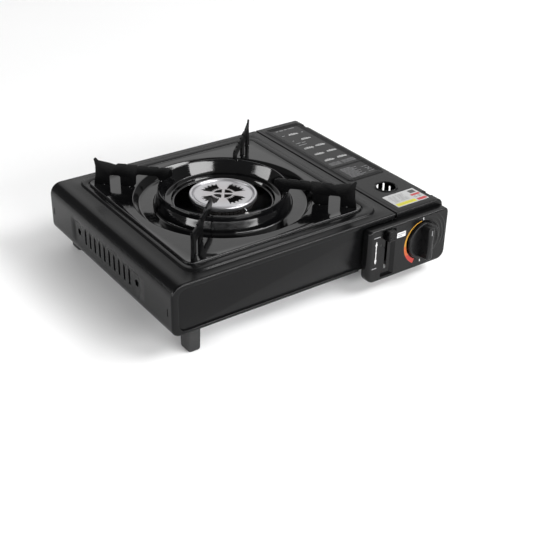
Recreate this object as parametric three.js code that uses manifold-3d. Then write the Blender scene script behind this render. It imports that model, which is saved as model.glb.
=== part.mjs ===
// Portable single-burner camping stove with a side bay for a butane canister.
// Millimetres, +Z up. Shapes are drawn in case coordinates: X = 0 at the left side, Y = 0 at the
// case front, Z = 0 at the underside of the case sheet. The exported group moves them so that the
// origin is at the middle of the footprint, on the surface that the feet stand on.
import * as THREE from 'three';
import { mergeVertices } from 'three/addons/utils/BufferGeometryUtils.js';
import Module from 'manifold-3d';

const wasm = await Module();
wasm.setup();

// ---------------------------------------------------------------- driving dimensions
const caseWidth = 343;
const caseDepth = 266.5;
const caseHeight = 56.5;
const footHeight = 26;
const sheet = 0.8;          // pressed steel of the case
const gap = 0.3;            // between pieces that rest on or beside each other
const moveGap = 0.6;        // between pieces that move past each other
const topEdgeR = 13;        // left edge, top
const lowEdgeR = 9;         // left edge, bottom
const bayWidth = 67;        // lid strip over the canister, at the right
const baySink = 12.3;       // canister tray below the case underside

const panSide = 217.5;
const panCorner = 9;
const panSheet = 1;
const plateauHeight = 2;    // raised field of the top sheet under the pan
const wellR = 98;           // outer edge of the round trough
const troughDepth = 8.5;
const crestR = 70;          // wind ring around the burner
const crestHeight = 10.4;
const panHoleR = 53;

const supportSheet = 1.8;
const supportReach = 145;   // from the burner centre to the outer end
const supportInner = panHoleR + 3;
const supportHeight = 24.6; // pot line above the pan deck
const hornHeight = 30.5;

const capR = 37;            // plated burner cap
const columnR = 20;         // foot of the burner head
const capRise = 2.8;        // cap rim above the pan deck

const boxMargin = 26.5;     // control box, from its left side to the lever
const boxProud = 10.4;
const boxTop = 50.2;
const boxWall = 2;
const boxCorner = 10;
const knobZ = 21;
const knobR = 21.5;
const knobDisc = 3.5;       // thickness of the round base of the knob
const knobProud = 14.6;     // grip front, from the panel
const gripWidth = 10;
const spindleR = 3;
const leverClear = 14.3;    // from the lever to the partition
const leverTravel = 35;
const leverTop = 47.5;
const leverKnobWidth = 10;
const leverKnobHeight = 12;
const leverProud = 7;
const leverArm = 2;         // thickness of the arm in its slot
const armHeight = 9;
const rodTravel = 7;

const canisterR = 33;       // nominal gas canister
const canisterZ = canisterR - baySink + sheet + gap;
const hingeX = caseWidth - 3.5;
const hingeZ = caseHeight - 5.5;
const pinR = 1.5;
const screwR = 2;
const footSize = [14.5, 18];
const ventPitch = 10.76;
const ventCount = 10;
const ventWidth = 3.6;
const ventLow = 17.3;
const ventHigh = 36.3;
const ventFirstY = 86;
const tubeR = 9;            // mixing tube, outside
const leadY = 37;           // where the ignition lead passes the partition
const leadZ = 18;

// ---------------------------------------------------------------- derived places
const split = caseWidth - bayWidth;
const burnerX = split / 2 + 5; // centre of the burner and of the drip pan
const burnerY = caseDepth / 2 - 0.25;
const knobX = caseWidth - 36;
const canisterX = caseWidth - bayWidth / 2 - 1.5;
const deckZ = caseHeight + plateauHeight + panSheet;
const capZ = deckZ + capRise;
const panelY = -boxProud;
const jetY = 26;
const jetZ = 30;
const partitionX = split - 3.7;
const leverX = partitionX - leverClear;
const boxLeft = leverX - boxMargin;
const trayLeft = partitionX + sheet + 0.9;
const trayZ = -baySink;
const bulkheadY = 42;
const piezoX = knobX - 9.5;
const lipSide = 7.5;
const lipLow = caseHeight - 5.5;
const lipR = 9;
const floorZ = sheet + gap; // underside of the base plate, on the case's inward rim

// ---------------------------------------------------------------- outlines
// A polygon from corners [x, y, radius]; a corner with a radius becomes an arc.
function rounded(corners, step = 22.5) {
  const points = [];
  corners.forEach(([x, y, r = 0], i) => {
    const p = new THREE.Vector2(x, y);
    if (r === 0) {
      points.push(p);
      return;
    }
    const [ax, ay] = corners[(i + corners.length - 1) % corners.length];
    const [bx, by] = corners[(i + 1) % corners.length];
    const a = new THREE.Vector2(ax, ay).sub(p).normalize();
    const b = new THREE.Vector2(bx, by).sub(p).normalize();
    const half = Math.acos(THREE.MathUtils.clamp(a.dot(b), -1, 1)) / 2;
    const centre = a.clone().add(b).normalize().multiplyScalar(r / Math.sin(half)).add(p);
    const from = a.clone().multiplyScalar(r / Math.tan(half)).add(p).sub(centre);
    const turn = (Math.PI - 2 * half) * Math.sign(a.cross(from));
    const steps = Math.max(2, Math.round(Math.abs(THREE.MathUtils.radToDeg(turn)) / step));
    for (let k = 0; k <= steps; k += 1) {
      points.push(from.clone().rotateAround(new THREE.Vector2(), turn * k / steps).add(centre));
    }
  });
  return points;
}

const rect = (x0, y0, x1, y1, r = 0) => rounded([[x0, y0, r], [x1, y0, r], [x1, y1, r], [x0, y1, r]]);

function disc(x, y, r, sides = 24) {
  return Array.from({ length: sides }, (_, i) => {
    const a = 2 * Math.PI * i / sides;
    return new THREE.Vector2(x + r * Math.cos(a), y + r * Math.sin(a));
  });
}

// A ribbon: the open line with its rounded corners, given a thickness to its left side.
function ribbon(corners, thick, step) {
  const line = rounded(corners.map(([x, y, r], i) => (
    i === 0 || i === corners.length - 1 ? [x, y, 0] : [x, y, r])), step);
  const offset = line.map((p, i) => {
    const before = i === 0 ? null : p.clone().sub(line[i - 1]).normalize();
    const after = i === line.length - 1 ? null : line[i + 1].clone().sub(p).normalize();
    const d = (before ?? after).clone().add(after ?? before).normalize();
    const n = new THREE.Vector2(-d.y, d.x);
    return p.clone().add(n.multiplyScalar(thick / d.dot(before ?? after)));
  });
  return [...line, ...offset.reverse()];
}

// ---------------------------------------------------------------- solids
// Closed geometry as a manifold solid with its faces pointing out.
function solid(geometry) {
  const bare = geometry.clone();
  bare.deleteAttribute('normal');
  bare.deleteAttribute('uv');
  const merged = mergeVertices(bare, 1e-4);
  const p = merged.attributes.position.array;
  const t = Uint32Array.from(merged.index.array);
  const corner = (i) => new THREE.Vector3(p[3 * i], p[3 * i + 1], p[3 * i + 2]);
  let volume = 0;
  for (let i = 0; i < t.length; i += 3) {
    volume += corner(t[i]).dot(corner(t[i + 1]).cross(corner(t[i + 2])));
  }
  if (volume < 0) t.reverse();
  return new wasm.Manifold(new wasm.Mesh({ numProp: 3, vertProperties: Float32Array.from(p), triVerts: t }));
}

function extruded(points, length, holes = []) {
  const shape = new THREE.Shape(points);
  holes.forEach((hole) => shape.holes.push(new THREE.Path(hole)));
  return new THREE.ExtrudeGeometry(shape, { depth: length, bevelEnabled: false });
}

// Outline in XY, from z0 up to z1.
const alongZ = (points, z0, z1, holes) => solid(extruded(points, z1 - z0, holes).translate(0, 0, z0));

// Outline in XZ, from y0 back to y1.
const alongY = (points, y0, y1, holes) => (
  solid(extruded(points, y1 - y0, holes).rotateX(Math.PI / 2).translate(0, y1, 0)));

// Outline in YZ, from x0 right to x1.
function alongX(points, x0, x1, holes) {
  const turn = new THREE.Matrix4().makeBasis(
    new THREE.Vector3(0, 1, 0), new THREE.Vector3(0, 0, 1), new THREE.Vector3(1, 0, 0));
  return solid(extruded(points, x1 - x0, holes).applyMatrix4(turn).translate(x0, 0, 0));
}

// A profile of [radius, z] turned about the upright axis through x, y.
function turned(profile, x, y, sides = 32) {
  const points = profile.map(([r, z]) => new THREE.Vector2(r, z));
  return solid(new THREE.LatheGeometry(points, sides).rotateX(Math.PI / 2).translate(x, y, 0));
}

const block = (x0, y0, z0, x1, y1, z1, r = 0) => alongZ(rect(x0, y0, x1, y1, r), z0, z1);

// A round tube or rod along a smooth line.
function swept(route, outer, inner, steps, sides) {
  const shape = new THREE.Shape(disc(0, 0, outer, sides));
  if (inner > 0) shape.holes.push(new THREE.Path(disc(0, 0, inner, sides)));
  const path = new THREE.CatmullRomCurve3(route.map((p) => new THREE.Vector3(...p)));
  return solid(new THREE.ExtrudeGeometry(shape, { steps, bevelEnabled: false, extrudePath: path }));
}

// ---------------------------------------------------------------- materials
const material = (color, roughness, metalness) => new THREE.MeshStandardMaterial({ color, roughness, metalness });
const finish = {
  paint: material(0x17181a, 0.42, 0.1),
  enamel: material(0x08080a, 0.08, 0.1),
  plastic: material(0x1b1c1e, 0.55, 0),
  plated: material(0xc9c8cb, 0.28, 0.9),
  steel: material(0x9a9c9f, 0.4, 0.9),
  cast: material(0x2a2b2c, 0.7, 0.5),
  brass: material(0xb08d3f, 0.35, 0.9),
  ceramic: material(0xf0eee6, 0.4, 0),
  rubber: material(0x141414, 0.85, 0),
  wire: material(0x6d1f1c, 0.6, 0),
};

const stove = new THREE.Group();
stove.position.set(-caseWidth / 2, -(caseDepth + panelY - knobProud) / 2, footHeight);

function group(name) {
  const g = new THREE.Group();
  g.name = name;
  stove.add(g);
  return g;
}

function place(parent, name, body, look) {
  const data = body.getMesh();
  const geometry = new THREE.BufferGeometry();
  geometry.setAttribute('position', new THREE.BufferAttribute(data.vertProperties, 3));
  geometry.setIndex(new THREE.BufferAttribute(data.triVerts, 1));
  geometry.computeVertexNormals();
  const mesh = new THREE.Mesh(geometry, finish[look]);
  mesh.name = name;
  parent.add(mesh);
}

// ---------------------------------------------------------------- case
// Flange around the inset front and rear panels.
function lip(x1, y) {
  return alongY(rounded([[x1, 0], [0, 0, lowEdgeR], [0, caseHeight, topEdgeR], [split, caseHeight], [split, lipLow],
    [lipSide, lipLow, lipR], [lipSide, 2.5, lipR], [x1, 2.5]]), y, y + sheet);
}

// Left wall, top and a narrow inward rim below, bent from one sheet.
function topCase() {
  const outside = [
    [30, 0, 0], [0, 0, lowEdgeR], [0, caseHeight, topEdgeR], [split, caseHeight, 1.5],
    [split, caseHeight - 4, 0],
  ];
  // walked clockwise, so the thickness lies inside
  const wrap = alongY(ribbon(outside.map((c) => [...c]), -sheet), 0, caseDepth);
  const field = [burnerX - panSide / 2 - 6.75, 12, burnerX + panSide / 2 + 11.25, caseDepth - 12];
  const rise = (grow, z1) => {
    const [x0, y0, x1, y1] = field;
    const low = rect(x0 - grow, y0 - grow, x1 + grow, y1 + grow, 16 + grow);
    return alongZ(low, caseHeight - sheet / 2, z1);
  };
  const plateau = rise(0, caseHeight + plateauHeight)
    .subtract(rise(-sheet, caseHeight + plateauHeight - sheet))
    .add(rise(1, caseHeight + plateauHeight / 2).subtract(rise(-sheet, caseHeight + plateauHeight)));
  const under = alongZ(rect(field[0] + sheet, field[1] + sheet, field[2] - sheet, field[3] - sheet, 15),
    caseHeight - 2 * sheet, caseHeight);
  const burnerHole = alongZ(disc(burnerX, burnerY, wellR + 3, 48), caseHeight - 2, deckZ + 1);
  let body = wrap.subtract(under).add(plateau).subtract(burnerHole).add(lip(boxLeft - 4.5, 0))
    .add(lip(partitionX - 1, caseDepth - sheet));
  for (let i = 0; i < ventCount; i += 1) {
    const y = ventFirstY + i * ventPitch;
    body = body.subtract(alongX(rect(y - ventWidth / 2, ventLow, y + ventWidth / 2, ventHigh), -1, 2));
  }
  const middle = (ventLow + ventHigh) / 2;
  [ventFirstY - 1.45 * ventPitch, ventFirstY + (ventCount + 0.35) * ventPitch].forEach((y) => {
    body = body.subtract(alongX(disc(y, middle, 3.8, 16), -1, 2));
  });
  return body.subtract(caseScrewHoles());
}

// Front and rear panels stand inside the wrap, behind its edges.
const panelOutline = rounded([[4, floorZ + gap, 6], [partitionX - 1, floorZ + gap], [partitionX - 1, 54], [4, 54, 10]]);
const frontPanelY = 1.6;

function frontPanel() {
  const arm = rect(leverX - 3, -1, leverX + 3, leverTop - 1);
  return alongY(panelOutline, frontPanelY, frontPanelY + sheet)
    .subtract(alongY(arm, frontPanelY - 1, frontPanelY + 2));
}

const rearScrews = [[60, 28], [partitionX - 57, 28]];

function rearPanel() {
  let body = alongY(panelOutline, caseDepth - frontPanelY - sheet, caseDepth - frontPanelY);
  rearScrews.forEach(([x, z]) => {
    body = body.subtract(alongY(disc(x, z, screwR + gap, 12), caseDepth - 4, caseDepth));
  });
  return body;
}

// Base plate on the inward rim, with rows of air slots under the burner.
const baseScrews = [[22, 42], [22, caseDepth - 42], [partitionX - 22, 60], [partitionX - 22, caseDepth - 42]];

function caseScrewHoles() {
  const holes = baseScrews.slice(0, 2).map(([x, y]) => alongZ(disc(x, y, screwR + gap, 12), -2, 4));
  return holes[0].add(holes[1]);
}

function basePlate() {
  let body = block(12, 3, floorZ, partitionX - gap, caseDepth - 3, floorZ + sheet, 4);
  baseScrews.forEach(([x, y]) => {
    body = body.subtract(alongZ(disc(x, y, screwR + gap, 12), -2, 4));
  });
  for (let i = 0; i < 6; i += 1) {
    const y = burnerY - 62 + i * 25;
    body = body.subtract(block(burnerX - 78, y, 0, burnerX - 50, y + 3.5, 4));
    body = body.subtract(block(burnerX + 50, y, 0, burnerX + 78, y + 3.5, 4));
  }
  return body;
}

// Screw along an axis: domed head outside, shank inside.
function baseScrew(x, y) {
  return turned([[0, -1.5], [2.4, -1.3], [3.6, -gap], [screwR, -gap], [screwR, 6], [0, 6]], x, y, 12);
}

function rearScrew(x, z) {
  const head = alongY(disc(x, z, 3.6, 12), caseDepth - frontPanelY + gap, caseDepth - frontPanelY + 1.4);
  return head.add(alongY(disc(x, z, screwR, 12), caseDepth - 9, caseDepth - frontPanelY + 1));
}

// Upright heat shield between the burner and the canister bay.
const rodLow = 5;
const rodHigh = 13;
const tongueY = 248;

function heatPartition() {
  let body = alongX(rect(3, floorZ + gap, caseDepth - 3, caseHeight - sheet - gap), partitionX, partitionX + sheet);
  body = body.subtract(alongX(disc(jetY, jetZ, 5.5, 16), partitionX - 2, partitionX + 2));
  body = body.subtract(alongX(disc(leadY, leadZ, 2.2, 10), partitionX - 2, partitionX + 2));
  const slot = rect(tongueY - rodTravel - moveGap, rodLow - moveGap, tongueY + 1.5 + moveGap, 38);
  return body.subtract(alongX(slot, partitionX - 2, partitionX + 2));
}

// Canister tray: bent floor with upright sides, sunk below the case.
function canisterTray() {
  const line = [[trayLeft, 22, 0], [trayLeft, trayZ, 4], [caseWidth - sheet - gap, trayZ, 8],
    [caseWidth - sheet - gap, 5, 0]];
  let body = alongY(ribbon(line, sheet), 3, caseDepth - 3);
  const slot = rect(tongueY - rodTravel - moveGap, rodLow - moveGap, tongueY + 1.5 + moveGap, 23);
  body = body.subtract(alongX(slot, trayLeft - 1, trayLeft + 2));
  body = body.subtract(alongX(disc(jetY, jetZ, 12, 16), trayLeft - 1, trayLeft + 2));
  return body.subtract(alongX(disc(leadY, leadZ, 2.2, 10), trayLeft - 1, trayLeft + 2));
}

// Right wall with air slots; two curled eyes at its top carry the lid pins.
const hingeSpots = [20, caseDepth - 20];
const eyeHalf = 5;
const wallTop = hingeZ - 5.7;

function rightWall() {
  const x0 = caseWidth - sheet;
  let body = alongX(rect(gap, -3, caseDepth - gap, wallTop, 2), x0, caseWidth);
  for (let i = 0; i < ventCount; i += 1) {
    const y = ventFirstY + i * ventPitch;
    body = body.subtract(alongX(rect(y - ventWidth / 2, ventLow, y + ventWidth / 2, ventHigh), x0 - 1, caseWidth + 1));
  }
  hingeSpots.forEach((y) => {
    const eye = alongY(disc(hingeX, hingeZ, 2.9, 16), y - eyeHalf, y + eyeHalf)
      .add(block(x0 - 1.6, y - eyeHalf, wallTop - 3, caseWidth - 0.4, y + eyeHalf, hingeZ));
    body = body.add(eye.subtract(alongY(disc(hingeX, hingeZ, pinR + gap, 12), y - 20, y + 20)));
  });
  return body;
}

function bayRearWall() {
  const y = caseDepth - 2.2;
  const x0 = trayLeft + sheet + gap;
  const x1 = caseWidth - sheet - gap - sheet - gap;
  return alongY(rounded([[x0, trayZ + sheet + gap], [x1, trayZ + sheet + gap, 8], [x1, wallTop], [x0, wallTop]]), y, y + sheet);
}

// Cross wall in front of the canister; the inlet passes through its hole.
function frontBulkhead() {
  const x0 = trayLeft + sheet + gap;
  const x1 = caseWidth - sheet - gap - sheet - gap;
  const outline = rounded([[x0, trayZ + sheet + gap, 4], [x1, trayZ + sheet + gap, 8], [x1, wallTop], [x0, wallTop]]);
  return alongY(outline, bulkheadY, bulkheadY + sheet)
    .subtract(alongY(disc(canisterX, canisterZ, 11, 20), bulkheadY - 1, bulkheadY + 2));
}

function foot(x, y, top) {
  const [w, d] = footSize;
  const post = block(x, y, -footHeight, x + w, y + d, top - gap, 2.5);
  return post.add(block(x - 1, y - 1, top - gap - 3, x + w + 1, y + d + 1, top - gap, 2.5));
}

const caseGroup = group('case');
place(caseGroup, 'top_case', topCase(), 'paint');
place(caseGroup, 'front_panel', frontPanel(), 'paint');
place(caseGroup, 'rear_panel', rearPanel(), 'paint');
place(caseGroup, 'base_plate', basePlate(), 'steel');
place(caseGroup, 'heat_partition', heatPartition(), 'steel');
place(caseGroup, 'canister_tray', canisterTray(), 'paint');
place(caseGroup, 'right_side_wall', rightWall(), 'paint');
place(caseGroup, 'bay_rear_wall', bayRearWall(), 'paint');
place(caseGroup, 'front_bulkhead', frontBulkhead(), 'steel');
place(caseGroup, 'foot_front_left', foot(19, 3, 0), 'rubber');
place(caseGroup, 'foot_rear_left', foot(19, caseDepth - 21, 0), 'rubber');
place(caseGroup, 'foot_front_right', foot(caseWidth - 35, 28, trayZ), 'rubber');
place(caseGroup, 'foot_rear_right', foot(caseWidth - 35, caseDepth - 21, trayZ), 'rubber');
baseScrews.forEach(([x, y], i) => place(caseGroup, `base_screw_${i + 1}`, baseScrew(x, y), 'steel'));
rearScrews.forEach(([x, z], i) => place(caseGroup, `rear_screw_${i + 1}`, rearScrew(x, z), 'steel'));

// ---------------------------------------------------------------- lid over the canister bay
const lidLeft = split + 0.6;
const sight = [canisterX + 0.5, 55.5];
const sightR = 10.7;
const lidEdgeR = 7;
const lidLow = hingeZ - 3.5;

function canisterLid() {
  const line = [[lidLeft, caseHeight - 3.5], [lidLeft, caseHeight, 1.2], [caseWidth, caseHeight, lidEdgeR],
    [caseWidth, lidLow]];
  const front = gap;
  const rear = caseDepth - gap;
  let body = alongY(ribbon(line, -sheet), front, rear);
  const skirt = rounded([[lidLeft, lidLow], [caseWidth, lidLow],
    [caseWidth, caseHeight, lidEdgeR], [lidLeft, caseHeight, 1.2]]);
  body = body.add(alongY(skirt, front, front + sheet)).add(alongY(skirt, rear - sheet, rear));
  body = body.subtract(alongZ(disc(...sight, sightR, 24), caseHeight - 2, caseHeight + 1));
  hingeSpots.forEach((y) => {
    body = body.subtract(block(hingeX - 5.5, y - eyeHalf - 1, hingeZ - 5, caseWidth + 1, y + eyeHalf + 1, caseHeight + 1));
    [-1, 1].forEach((side) => {
      const at = y + side * (eyeHalf + 2.2);
      const ear = rounded([[hingeX - 3, hingeZ - 3, 2.5], [hingeX + 2.5, hingeZ - 3, 2.5],
        [hingeX + 2.8, caseHeight - 3], [hingeX - 2, caseHeight - 0.3], [hingeX - 3, caseHeight - 0.3]]);
      body = body.add(alongY(ear, at - 0.6, at + 0.6));
    });
    body = body.subtract(alongY(disc(hingeX, hingeZ, pinR + gap, 12), y - 9, y + 9));
  });
  return body;
}

const lidGroup = group('lid');
place(lidGroup, 'canister_lid', canisterLid(), 'paint');
hingeSpots.forEach((y, i) => {
  const pin = alongY(disc(hingeX, hingeZ, pinR, 12), y - 8.6, y + 8.6);
  place(lidGroup, `lid_hinge_pin_${['front', 'rear'][i]}`, pin, 'steel');
});

// ---------------------------------------------------------------- burner
function burnerHead() {
  const rim = capZ - 6;
  const profile = [
    [0, 20.3], [columnR - 1, 20.3], [columnR, 24], [columnR, 40], [(columnR + capR) / 2 - 2.5, 45], [capR - 4, 49],
    [capR - 3, rim], [capR - 5, rim], [capR - 6, 50.5], [(columnR + capR) / 2 - 4, 47], [columnR - 2, 41.5],
    [columnR - 2, 24], [columnR - 3, 22.3], [0, 22.3],
  ];
  return turned(profile, burnerX, burnerY, 32).subtract(tubeAt(tubeR + gap, 0));
}

const tubeEnd = new THREE.Vector2(1, -1).normalize().multiplyScalar(columnR - 8);
const tubeRoute = [
  [partitionX - 20, jetY, jetZ], [partitionX - 32, jetY, jetZ], [partitionX - 50, jetY + 9, jetZ],
  [burnerX + capR + 9, burnerY - capR - 7, jetZ], [burnerX + tubeEnd.x, burnerY + tubeEnd.y, jetZ],
];

const tubeAt = (outer, inner) => swept(tubeRoute, outer, inner, 12, 12);

function airShutter() {
  const x1 = partitionX - 14;
  const ring = alongX(disc(jetY, jetZ, tubeR + 2.2, 20), x1 - 6, x1, [disc(jetY, jetZ, tubeR + gap, 20)]);
  return ring.add(alongX(disc(jetY, jetZ, tubeR + 2.2, 20), x1 - 0.01, x1 + 1, [disc(jetY, jetZ, 5, 20)]));
}

function burnerCap() {
  const top = capZ - 1.4;
  const profile = [
    [0, top - 1.6], [capR - 6, top - 1.6], [capR - 4, capZ - 5.7], [capR - 1, capZ - 5.7], [capR, capZ - 4.4],
    [capR, capZ - 1], [capR - 1, capZ], [capR - 3, capZ], [capR - 3.8, capZ - 1], [capR - 5.2, top], [0, top],
  ];
  let body = turned(profile, burnerX, burnerY, 36);
  const sector = (a, r0, r1, wide) => {
    const arc = (r, from, to) => Array.from({ length: 5 }, (_, i) => {
      const t = from + (to - from) * i / 4;
      return new THREE.Vector2(burnerX + r * Math.cos(t), burnerY + r * Math.sin(t));
    });
    return alongZ([...arc(r0, a - wide, a + wide), ...arc(r1, a + wide, a - wide)], top - 4, top + 2);
  };
  for (let i = 0; i < 4; i += 1) {
    const a = THREE.MathUtils.degToRad(12 + 90 * i);
    body = body.subtract(sector(a, 14.5, 22, 0.36)).subtract(sector(a, 4, 10.5, 0.5));
  }
  return body;
}

const bracketTop = 18.6;
const bracketX = [burnerX - columnR - 18, burnerX + columnR + 18];

function burnerBracket() {
  const z = floorZ + sheet + gap;
  const [x0, x1] = bracketX;
  const line = [[x0, z, 0], [x0 + 12, z, 1.5], [x0 + 12, bracketTop, 1.5], [x1 - 12, bracketTop, 1.5],
    [x1 - 12, z, 1.5], [x1, z, 0]];
  let body = alongY(ribbon(line, 1.2), burnerY - 9, burnerY + 9);
  bracketX.forEach((x, i) => {
    body = body.subtract(alongZ(disc(x + (i ? -6 : 6), burnerY, screwR + gap, 12), 0, z + 3));
  });
  return body;
}

function bracketScrew(x) {
  const z = floorZ + sheet + gap + 1.2 + gap;
  return turned([[0, z - 1.3], [screwR, z - 1.3], [screwR, z], [3.5, z], [2.4, z + 1.4], [0, z + 1.6]], x, burnerY, 12);
}

const electrodeX = burnerX + 2;
const electrodeY = burnerY - capR - 6;

function ignitionLead() {
  const route = [
    [piezoX - 0.8, 21, 45], [piezoX - 8, 24, 44.5], [partitionX + 11, leadY, 36], [partitionX + 9, leadY, 22],
    [partitionX + 5, leadY, leadZ], [partitionX - 4, leadY, leadZ], [partitionX - 16, 40, 16], [partitionX - 26, 48, 9],
    [electrodeX + 55, 66, 6.5], [electrodeX + 20, electrodeY - 14, 7],
    [electrodeX + 5, electrodeY - 6, 10], [electrodeX, electrodeY, 20], [electrodeX, electrodeY, 27.6],
  ];
  return swept(route, 1.2, 0, 34, 6);
}

const burnerGroup = group('burner');
place(burnerGroup, 'burner_head', burnerHead(), 'cast');
place(burnerGroup, 'burner_cap', burnerCap(), 'plated');
place(burnerGroup, 'mixing_tube', tubeAt(tubeR, tubeR - 1), 'steel');
place(burnerGroup, 'air_shutter', airShutter(), 'steel');
place(burnerGroup, 'burner_bracket', burnerBracket(), 'steel');
bracketX.forEach((x, i) => place(burnerGroup, `bracket_screw_${i + 1}`, bracketScrew(x + (i ? -6 : 6)), 'steel'));
place(burnerGroup, 'electrode_insulator', turned([
  [0, 28], [1.6, 28], [1.6, 34], [3, 34], [3, 46], [2.4, 55], [1.2, 56], [0, 56]], electrodeX, electrodeY, 14), 'ceramic');
place(burnerGroup, 'electrode_pin', swept([
  [electrodeX, electrodeY, 56.3], [electrodeX, electrodeY + 0.6, 58], [electrodeX, electrodeY + 4, 59.6]], 0.7, 0, 5, 8), 'steel');
place(burnerGroup, 'ignition_lead', ignitionLead(), 'wire');

// Heat strip from beside the flame to the partition, to keep the canister warm.
function heatPlate() {
  const x1 = partitionX - gap;
  const line = [[burnerX + capR, 40, 0], [burnerX + capR + 9, 34, 6], [x1 - sheet, 34, 3], [x1 - sheet, 18, 0]];
  return alongY(ribbon(line, sheet), burnerY + 20, burnerY + 44);
}
place(burnerGroup, 'heat_plate', heatPlate(), 'steel');

// ---------------------------------------------------------------- gas valve
const valve = { x0: knobX - 16, x1: knobX + 16, y0: 9, y1: 36, z0: 4, z1: 37 };

function regulatorBody() {
  const { x0, x1, y0, y1, z0, z1 } = valve;
  let body = block(x0, y0, z0, x1, y1, z1, 3);
  body = body.add(alongY(disc(knobX, knobZ, 17.5, 24), y0 + 6, y1 - 4));
  body = body.add(alongX(disc(jetY, jetZ, 5.5, 16), x0 - 6, x0 + 2));
  body = body.subtract(alongX(disc(jetY, jetZ, 4 + gap, 16), x0 - 7, x0 - 1));
  return body.subtract(alongY(disc(knobX, knobZ, spindleR + gap, 16), y0 - 1, y0 + 14));
}

const coverY = valve.y0 - gap - 2.2;

function regulatorCover() {
  return alongY(disc(knobX, knobZ, 17, 24), coverY, coverY + 2.2, [disc(knobX, knobZ, spindleR + moveGap, 16)]);
}

function inletNozzle() {
  const y0 = valve.y1 + gap;
  const profile = [[0, 0], [9.5, 0], [9.5, 9], [8, 12], [5, 12], [5, 7], [2, 7], [2, 4], [0, 4]];
  const points = profile.map(([r, z]) => new THREE.Vector2(r, z));
  const geometry = new THREE.LatheGeometry(points, 20).translate(0, y0, 0);
  return solid(geometry.translate(canisterX, 0, canisterZ));
}

function gasJet() {
  const x1 = valve.x0 - 1.3;
  const x0 = partitionX - 10;
  return alongX(disc(jetY, jetZ, 4, 16), x0 + 7, x1).add(alongX(disc(jetY, jetZ, 2.4, 16), x0, x0 + 8));
}

function piezo() {
  return block(piezoX, 12, 40.5, piezoX + 24, 30, 50, 2).add(block(piezoX + 20, 6, 42, piezoX + 28, 14, 49, 2));
}

const valveGroup = group('gas valve');
place(valveGroup, 'regulator_body', regulatorBody(), 'cast');
place(valveGroup, 'regulator_cover', regulatorCover(), 'steel');
place(valveGroup, 'inlet_nozzle', inletNozzle(), 'brass');
place(valveGroup, 'gas_jet', gasJet(), 'brass');
place(valveGroup, 'piezo_igniter', piezo(), 'plastic');

// ---------------------------------------------------------------- controls
function controlBox() {
  const outline = (inset) => rounded([
    [boxLeft + inset, trayZ + inset, boxCorner - inset], [caseWidth - inset, trayZ + inset, boxCorner - inset],
    [caseWidth - inset, boxTop - inset, 5 - inset], [boxLeft + inset, boxTop - inset, 4 - inset]]);
  let body = alongY(outline(0), panelY, -gap).subtract(alongY(outline(boxWall), panelY + boxWall, 1));
  const channel = rect(leverX - 9, -8, leverX + 10, leverTop + 0.5, 1);
  const trough = (grow, y1) => alongY(channel.map((p) => new THREE.Vector2(
    leverX + (p.x - leverX) * grow, p.y)), panelY - 1, y1);
  body = body.add(alongY(channel, panelY + 1, panelY + 3 + boxWall)).subtract(trough(0.86, panelY + 3));
  const slot = rect(leverX - leverArm / 2 - moveGap, -1, leverX + leverArm / 2 + moveGap, leverTop - 0.4);
  body = body.subtract(alongY(slot, panelY - 1, 1));
  return body.subtract(alongY(disc(knobX, knobZ, spindleR + moveGap + 1, 16), panelY - 1, panelY + 4));
}

function controlKnob() {
  const back = panelY - gap;
  const front = panelY - knobProud;
  const base = alongY(disc(knobX, knobZ, knobR, 36), back - knobDisc, back);
  const grip = rounded([[-gripWidth / 2, back - 1], [gripWidth / 2, back - 1], [gripWidth / 2 - 0.6, front, 2],
    [-gripWidth / 2 + 0.6, front, 2]]).map((p) => new THREE.Vector2(p.x + knobX, p.y));
  const half = knobR - 2;
  const bore = alongY(disc(knobX, knobZ, spindleR + gap, 16), back - 9, back + 1);
  return base.add(alongZ(grip, knobZ - half, knobZ + half)).subtract(bore);
}

function lockLever() {
  const back = panelY + 3 - gap;
  const knob = block(leverX - leverKnobWidth / 2, panelY - leverProud, leverTop - leverKnobHeight,
    leverX + leverKnobWidth / 2, back - gap, leverTop, 1.5);
  const armTop = leverTop - 1.5;
  const arm = block(leverX - leverArm / 2, back - 1, armTop - armHeight, leverX + leverArm / 2, 14, armTop);
  return knob.add(arm);
}

// Push rod beside the partition; its tongue moves the canister onto the inlet.
const rodX = partitionX - 6.5;

function pushRod() {
  const bar = block(rodX, 16, rodLow, rodX + 1.5, tongueY + 1.5, rodHigh);
  const tongue = block(rodX, tongueY, rodLow, canisterX + 14, tongueY + 1.5, rodHigh + 4)
    .add(block(canisterX - 18, tongueY, rodLow, canisterX + 14, tongueY + 1.5, 36));
  return bar.add(tongue);
}

const controls = group('controls');
place(controls, 'control_box', controlBox(), 'plastic');
place(controls, 'control_knob', controlKnob(), 'plastic');
place(controls, 'valve_spindle', alongY(disc(knobX, knobZ, spindleR, 16), panelY - 8.5, valve.y0 + 12), 'steel');
place(controls, 'lock_lever', lockLever(), 'plastic');
place(controls, 'push_rod', pushRod(), 'steel');

// Leaf spring that holds the lever where it is left.
function detentSpring() {
  const x = leverX + leverArm / 2 + gap;
  const line = [[x + 4.4, 18, 0], [x + 4.4, 9, 2], [x + 0.4, 6, 1.5], [x + 4.4, 3.4, 0]];
  return alongZ(ribbon(line, -0.4), 6, 24);
}
place(controls, 'detent_spring', detentSpring(), 'steel');

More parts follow.
